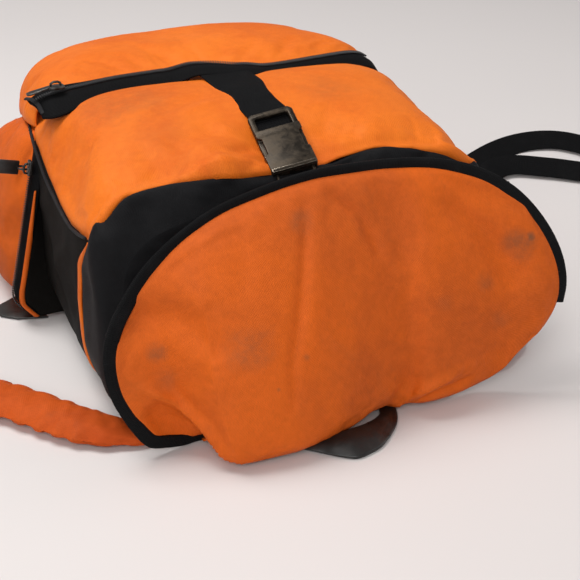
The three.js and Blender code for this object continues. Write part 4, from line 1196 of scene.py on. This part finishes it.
def side_pocket_grid(side):
    """A side pocket's bag, from its mouth to its closed end."""
    rows, columns = 80, 90
    key = spline(SIDE_POCKET, rows)
    out = np.empty((rows, columns, 3))
    turns = np.linspace(-math.pi / 2, math.pi / 2, columns)
    for i, (y, reach, low, high) in enumerate(key):
        core = 134
        c, s = np.cos(turns), np.sin(turns)
        z = (low + high) / 2 + (high - low) / 2 * np.sign(s) * np.abs(s) ** 0.72
        x = core + (reach - core + 0.16 * (72 - z)) * np.abs(c) ** 0.62
        out[i] = np.stack([side * x, np.full(columns, y), z], 1)
    return out if side < 0 else out[:, ::-1]


for side, word in SIDES:
    shape = side_pocket_grid(side)
    shape = settle(shape, 1.5, 0.02, 5)
    swell = 1.3 * field(shape, 60, 3.0 + side) + 0.6 * field(shape, 26, 5.0) + shut(shape, {"start"}, 2.0, 5)
    upper_crease = crease(shape, (side * 172, 250, 120), (side * 176, 330, 96), 1.6, 9)
    lower_crease = crease(shape, (side * 172, 246, 40), (side * 176, 320, 60), 1.5, 10)
    swell += upper_crease - lower_crease
    # The side pocket takes the darker orange copy: painted shade.
    sheet_piece(f"side_pocket_cloth_{word}", push(shape, swell), 1.4,
                "root", orange_side, (f"side_pocket_{word}",))

    edge = np.stack([side * SIDE_ZIP[:, 0], np.full(90, 226.0), SIDE_ZIP[:, 1]], 1)
    out = np.cross(tangents(edge), [0, side * 1.0, 0])
    rows = np.array([edge + out * (1.2 * math.sin(math.pi * f) - 4 * (1 - f) ** 2 - 0.6)
                     + np.array([0, 18.5 * f - 9.5, 0]) for f in np.linspace(0, 1, 12)])
    rows = rows if side > 0 else rows[:, ::-1]
    sheet_piece(f"side_zip_{word}", push(rows, 0.3 * field(rows, 18, 3.0)), 1.4,
                "root", webbing_cloth, (f"side_zip_tape_{word}",))
    teeth_line = edge[10:-4] + out[10:-4] * 1.7 + np.array([0, 1.5, 0])
    teeth = zip_teeth(f"side_teeth_{word}", teeth_line, np.array([side * 1.0, 0, 0]), 1.9, 4.2, 0.55)
    finish_piece(teeth, "root", black_plastic)

    mouth_line = SIDE_ZIP[SIDE_ZIP[:, 1] < 116]
    out_x, height = mouth_line[:, 0], mouth_line[:, 1]
    skin_there = np.array([skin_x(224, z) for z in height])
    lip_wide = np.clip((out_x - skin_there) * 0.3, 0.3, 4.6)
    lip_rows = np.array([
        np.stack([side * (out_x - 1.2 - lip_wide * f),
                  np.full(len(height), 217.2 - 1.4 * math.sin(math.pi * f)), height], 1)
        for f in np.linspace(0, 1, 8)])
    sheet_piece(f"side_pocket_lip_{word}", lip_rows[:, ::-side], 1.2, "root", orange_side)
    inner = out_x - 1.2 - lip_wide
    end_rows = np.array([
        np.stack([side * (inner + (skin_there - 3 - inner) * f), np.full(len(height), 217.4 + 6 * f),
                  height * (1 - 0.4 * f * smooth(-height, -20, -10))], 1)
        for f in np.linspace(0, 1, 12)])
    sheet_piece(f"side_pocket_end_{word}", end_rows[:, ::-side], 1.2, "root", coated_cloth)

    bead_line = spline([(70, 139), (90, 134.5), (114, 131.5), (150, 133), (190, 138), (225, 147), (262, 148),
                        (320, 138), (374, 116)], 140)
    bead = [(side * (skin_x(y, z) + 1.3), y, z + 0.6) for y, z in bead_line]
    cord = tube(f"piping_bead_{word}", bead, 1.2, 12)
    finish_piece(cord, "root", piping_cloth, (f"piping_{word}",))


def slider_look(name):
    """A zip slider that faces +Z and runs along X: its bevelled wings and a raised bridge."""
    outline = [(-6, -3), (-2.6, -4.6), (5.4, -4.2), (6.2, -3), (6.2, 3), (5.4, 4.2), (-2.6, 4.6), (-6, 3)]
    wing = plate(f"{name}_wing", outline, 0.1, 2.4, 0.6)
    bridge = ((-4.4, 1.6), (-4.2, 4.4), (-2.2, 5.5), (1.4, 5.5), (3.2, 4.4), (3.4, 1.6))
    arch = tube(f"{name}_arch", [(x, ORIGIN_Y, z) for x, z in bridge], 1.0, 8)
    return join(name, [wing, arch])


def carry(obj, at, turn):
    """Turns an object about the origin and sets it at a place."""
    obj.data.transform(Matrix.Translation(place([at])[0]) @ turn)
    return obj


front_run = slider_look("front_slider_look")
carry(front_run, (-130, 224, 193.4), Matrix.Identity(4))
finish_piece(front_run, "front_slider", dark_metal, ("front_slider",))
tag_outline = [(-23.6, -2), (-20.6, -3.3), (-6.2, -2.6), (-5, -1.4), (-5, 1.4), (-6.2, 2.6), (-20.6, 3.3),
               (-23.6, 2)]
front_tag = plate("front_pull_look", tag_outline, -0.8, 0.8, 0.5)
carry(front_tag, (-130, 224, 196.4), Matrix.Rotation(math.radians(-12), 4, "Y"))
finish_piece(front_tag, "front_pull", dark_metal, ("front_pull",))

LEAN = math.atan2(112.0, 25.5)          # from the side zip's run to the bag's side
PULL_PIVOT = 3.8 * 0.001                # above the slider's foot, in metres
PULL_SWING = {"left": 0.0, "right": math.radians(62)}
HOOP = ((-2.6, 3.8), (-3.6, 6.5), (-2.8, 9.4), (0, 10.6), (2.8, 9.4), (3.6, 6.5), (2.6, 3.8))
EYELET = np.array([  # radius, height
    (3.2, -3.4), (4.2, -3.9), (6.0, -3.9), (6.6, -3.2), (5.2, -2.6), (4.0, 0), (5.2, 2.6), (6.6, 3.2),
    (6.0, 3.9), (4.2, 3.9), (3.2, 3.4)])
for side, word in SIDES:
    spot = (side * (SIDE_SLIDER[0] + 1.6 * math.sin(LEAN)), 226, SIDE_SLIDER[1] + 1.6 * math.cos(LEAN))
    turn = Matrix.Rotation(side * LEAN, 4, "Y")
    run = carry(slider_look(f"side_slider_look_{word}"), spot, turn)
    finish_piece(run, f"side_slider_{word}", dark_metal, (f"side_slider_{word}",))
    swing = Matrix.Rotation(PULL_SWING[word], 4, "Y")
    hang = turn @ Matrix.Translation((0, 0, PULL_PIVOT)) @ swing @ Matrix.Translation((0, 0, -PULL_PIVOT))
    hoop_line = spline([(0, y + ORIGIN_Y, z) for y, z in HOOP], 40)
    hoop = tube(f"side_hoop_{word}", hoop_line, 0.85, 8)
    carry(hoop, spot, hang)
    finish_piece(hoop, f"side_pull_{word}", dark_metal, (f"side_ring_{word}",))
    leaf = plate(f"side_leaf_{word}", [(-5.6, -1.3), (5.6, -1.3), (5.6, 1.3), (-5.6, 1.3)], 9.5, 26.5, 0.9)
    carry(leaf, spot, hang)
    finish_piece(leaf, f"side_pull_{word}", black_leather, (f"side_pull_{word}",))

for side, word in SIDES:
    turns = np.linspace(0, 2 * math.pi, 36, endpoint=False)
    ringed = np.array([[(r * math.cos(t), h + ORIGIN_Y, r * math.sin(t)) for t in turns] for r, h in EYELET])
    eye = grid(f"eyelet_look_{word}", ringed, wrap=True)
    carry(eye, (side * 30, 54, 133), Matrix.Rotation(math.radians(11), 4, "X"))
    finish_piece(eye, "root", dark_metal, (f"eyelet_{word}",))

foam = plate("foam_look", rectangle(-98, 98, 98 - ORIGIN_Y, 340 - ORIGIN_Y, 14), 4.4, 11, 2.5)
finish_piece(foam, "root", foam_sheet, ("back_foam",))


# ---------- floor, light and camera ----------
def stage_material(name, color, rough):
    """Plain paper, very slightly uneven in tone."""
    made, g, at, _ = material(name)
    uneven = g.spread(g.noise(at, 2.2, 2, 0.5), 0.3, 0.7)
    g.shade({"Base Color": g.mix(uneven, color, tuple(0.985 * c for c in color)), "Roughness": rough,
             "Specular IOR Level": 0.25})
    return made


FLOOR_SIZE = 60
bpy.ops.mesh.primitive_plane_add(size=FLOOR_SIZE, location=(0, 0, -0.0002))
floor = bpy.context.object
floor.name = "floor"
floor.data.materials.append(stage_material("floor_paper", (0.715, 0.68, 0.668), 0.6))


def area_light(name, location, target, size, power, color):
    """A rectangular light that faces its target."""
    data = bpy.data.lights.new(name, "AREA")
    data.shape = "RECTANGLE"
    data.size, data.size_y = size
    data.energy = power
    data.color = color
    obj = bpy.data.objects.new(name, data)
    obj.location = location
    obj.rotation_euler = (Vector(target) - Vector(location)).to_track_quat("-Z", "Y").to_euler()
    bpy.context.scene.collection.objects.link(obj)


area_light("top_box", (-0.55, 0.35, 1.7), (0, 0, 0.05), (1.0, 0.9), 25, (1.0, 0.985, 0.97))
area_light("front_fill", (-0.9, -1.8, 1.3), (0, 0, 0.08), (1.2, 0.9), 20, (1.0, 0.99, 0.985))
area_light("right_fill", (1.9, -0.3, 1.0), (0, 0, 0.05), (1.2, 1.2), 5, (1.0, 1.0, 1.0))
world = bpy.data.worlds.new("studio")
world.use_nodes = True
background = world.node_tree.nodes["Background"]
background.inputs["Color"].default_value = (0.95, 0.93, 0.93, 1)
background.inputs["Strength"].default_value = 0.36
bpy.context.scene.world = world
bpy.context.scene.view_settings.view_transform = "Standard"
bpy.context.scene.view_settings.look = "None"

camera_data = bpy.data.cameras.new("camera")
camera_data.sensor_width = 36
camera_data.lens = 85.0345
camera = bpy.data.objects.new("camera", camera_data)
CAMERA_DISTANCE = 1.020
azimuth, elevation = math.radians(-22), math.radians(27.5)
target = Vector((0.002, -0.121, 0.066))
level = math.cos(elevation)
away = Vector((math.sin(azimuth) * level, -math.cos(azimuth) * level, math.sin(elevation)))
camera.location = target + away * CAMERA_DISTANCE
camera.rotation_euler = (-away).to_track_quat("-Z", "Y").to_euler()
bpy.context.scene.collection.objects.link(camera)
bpy.context.scene.camera = camera
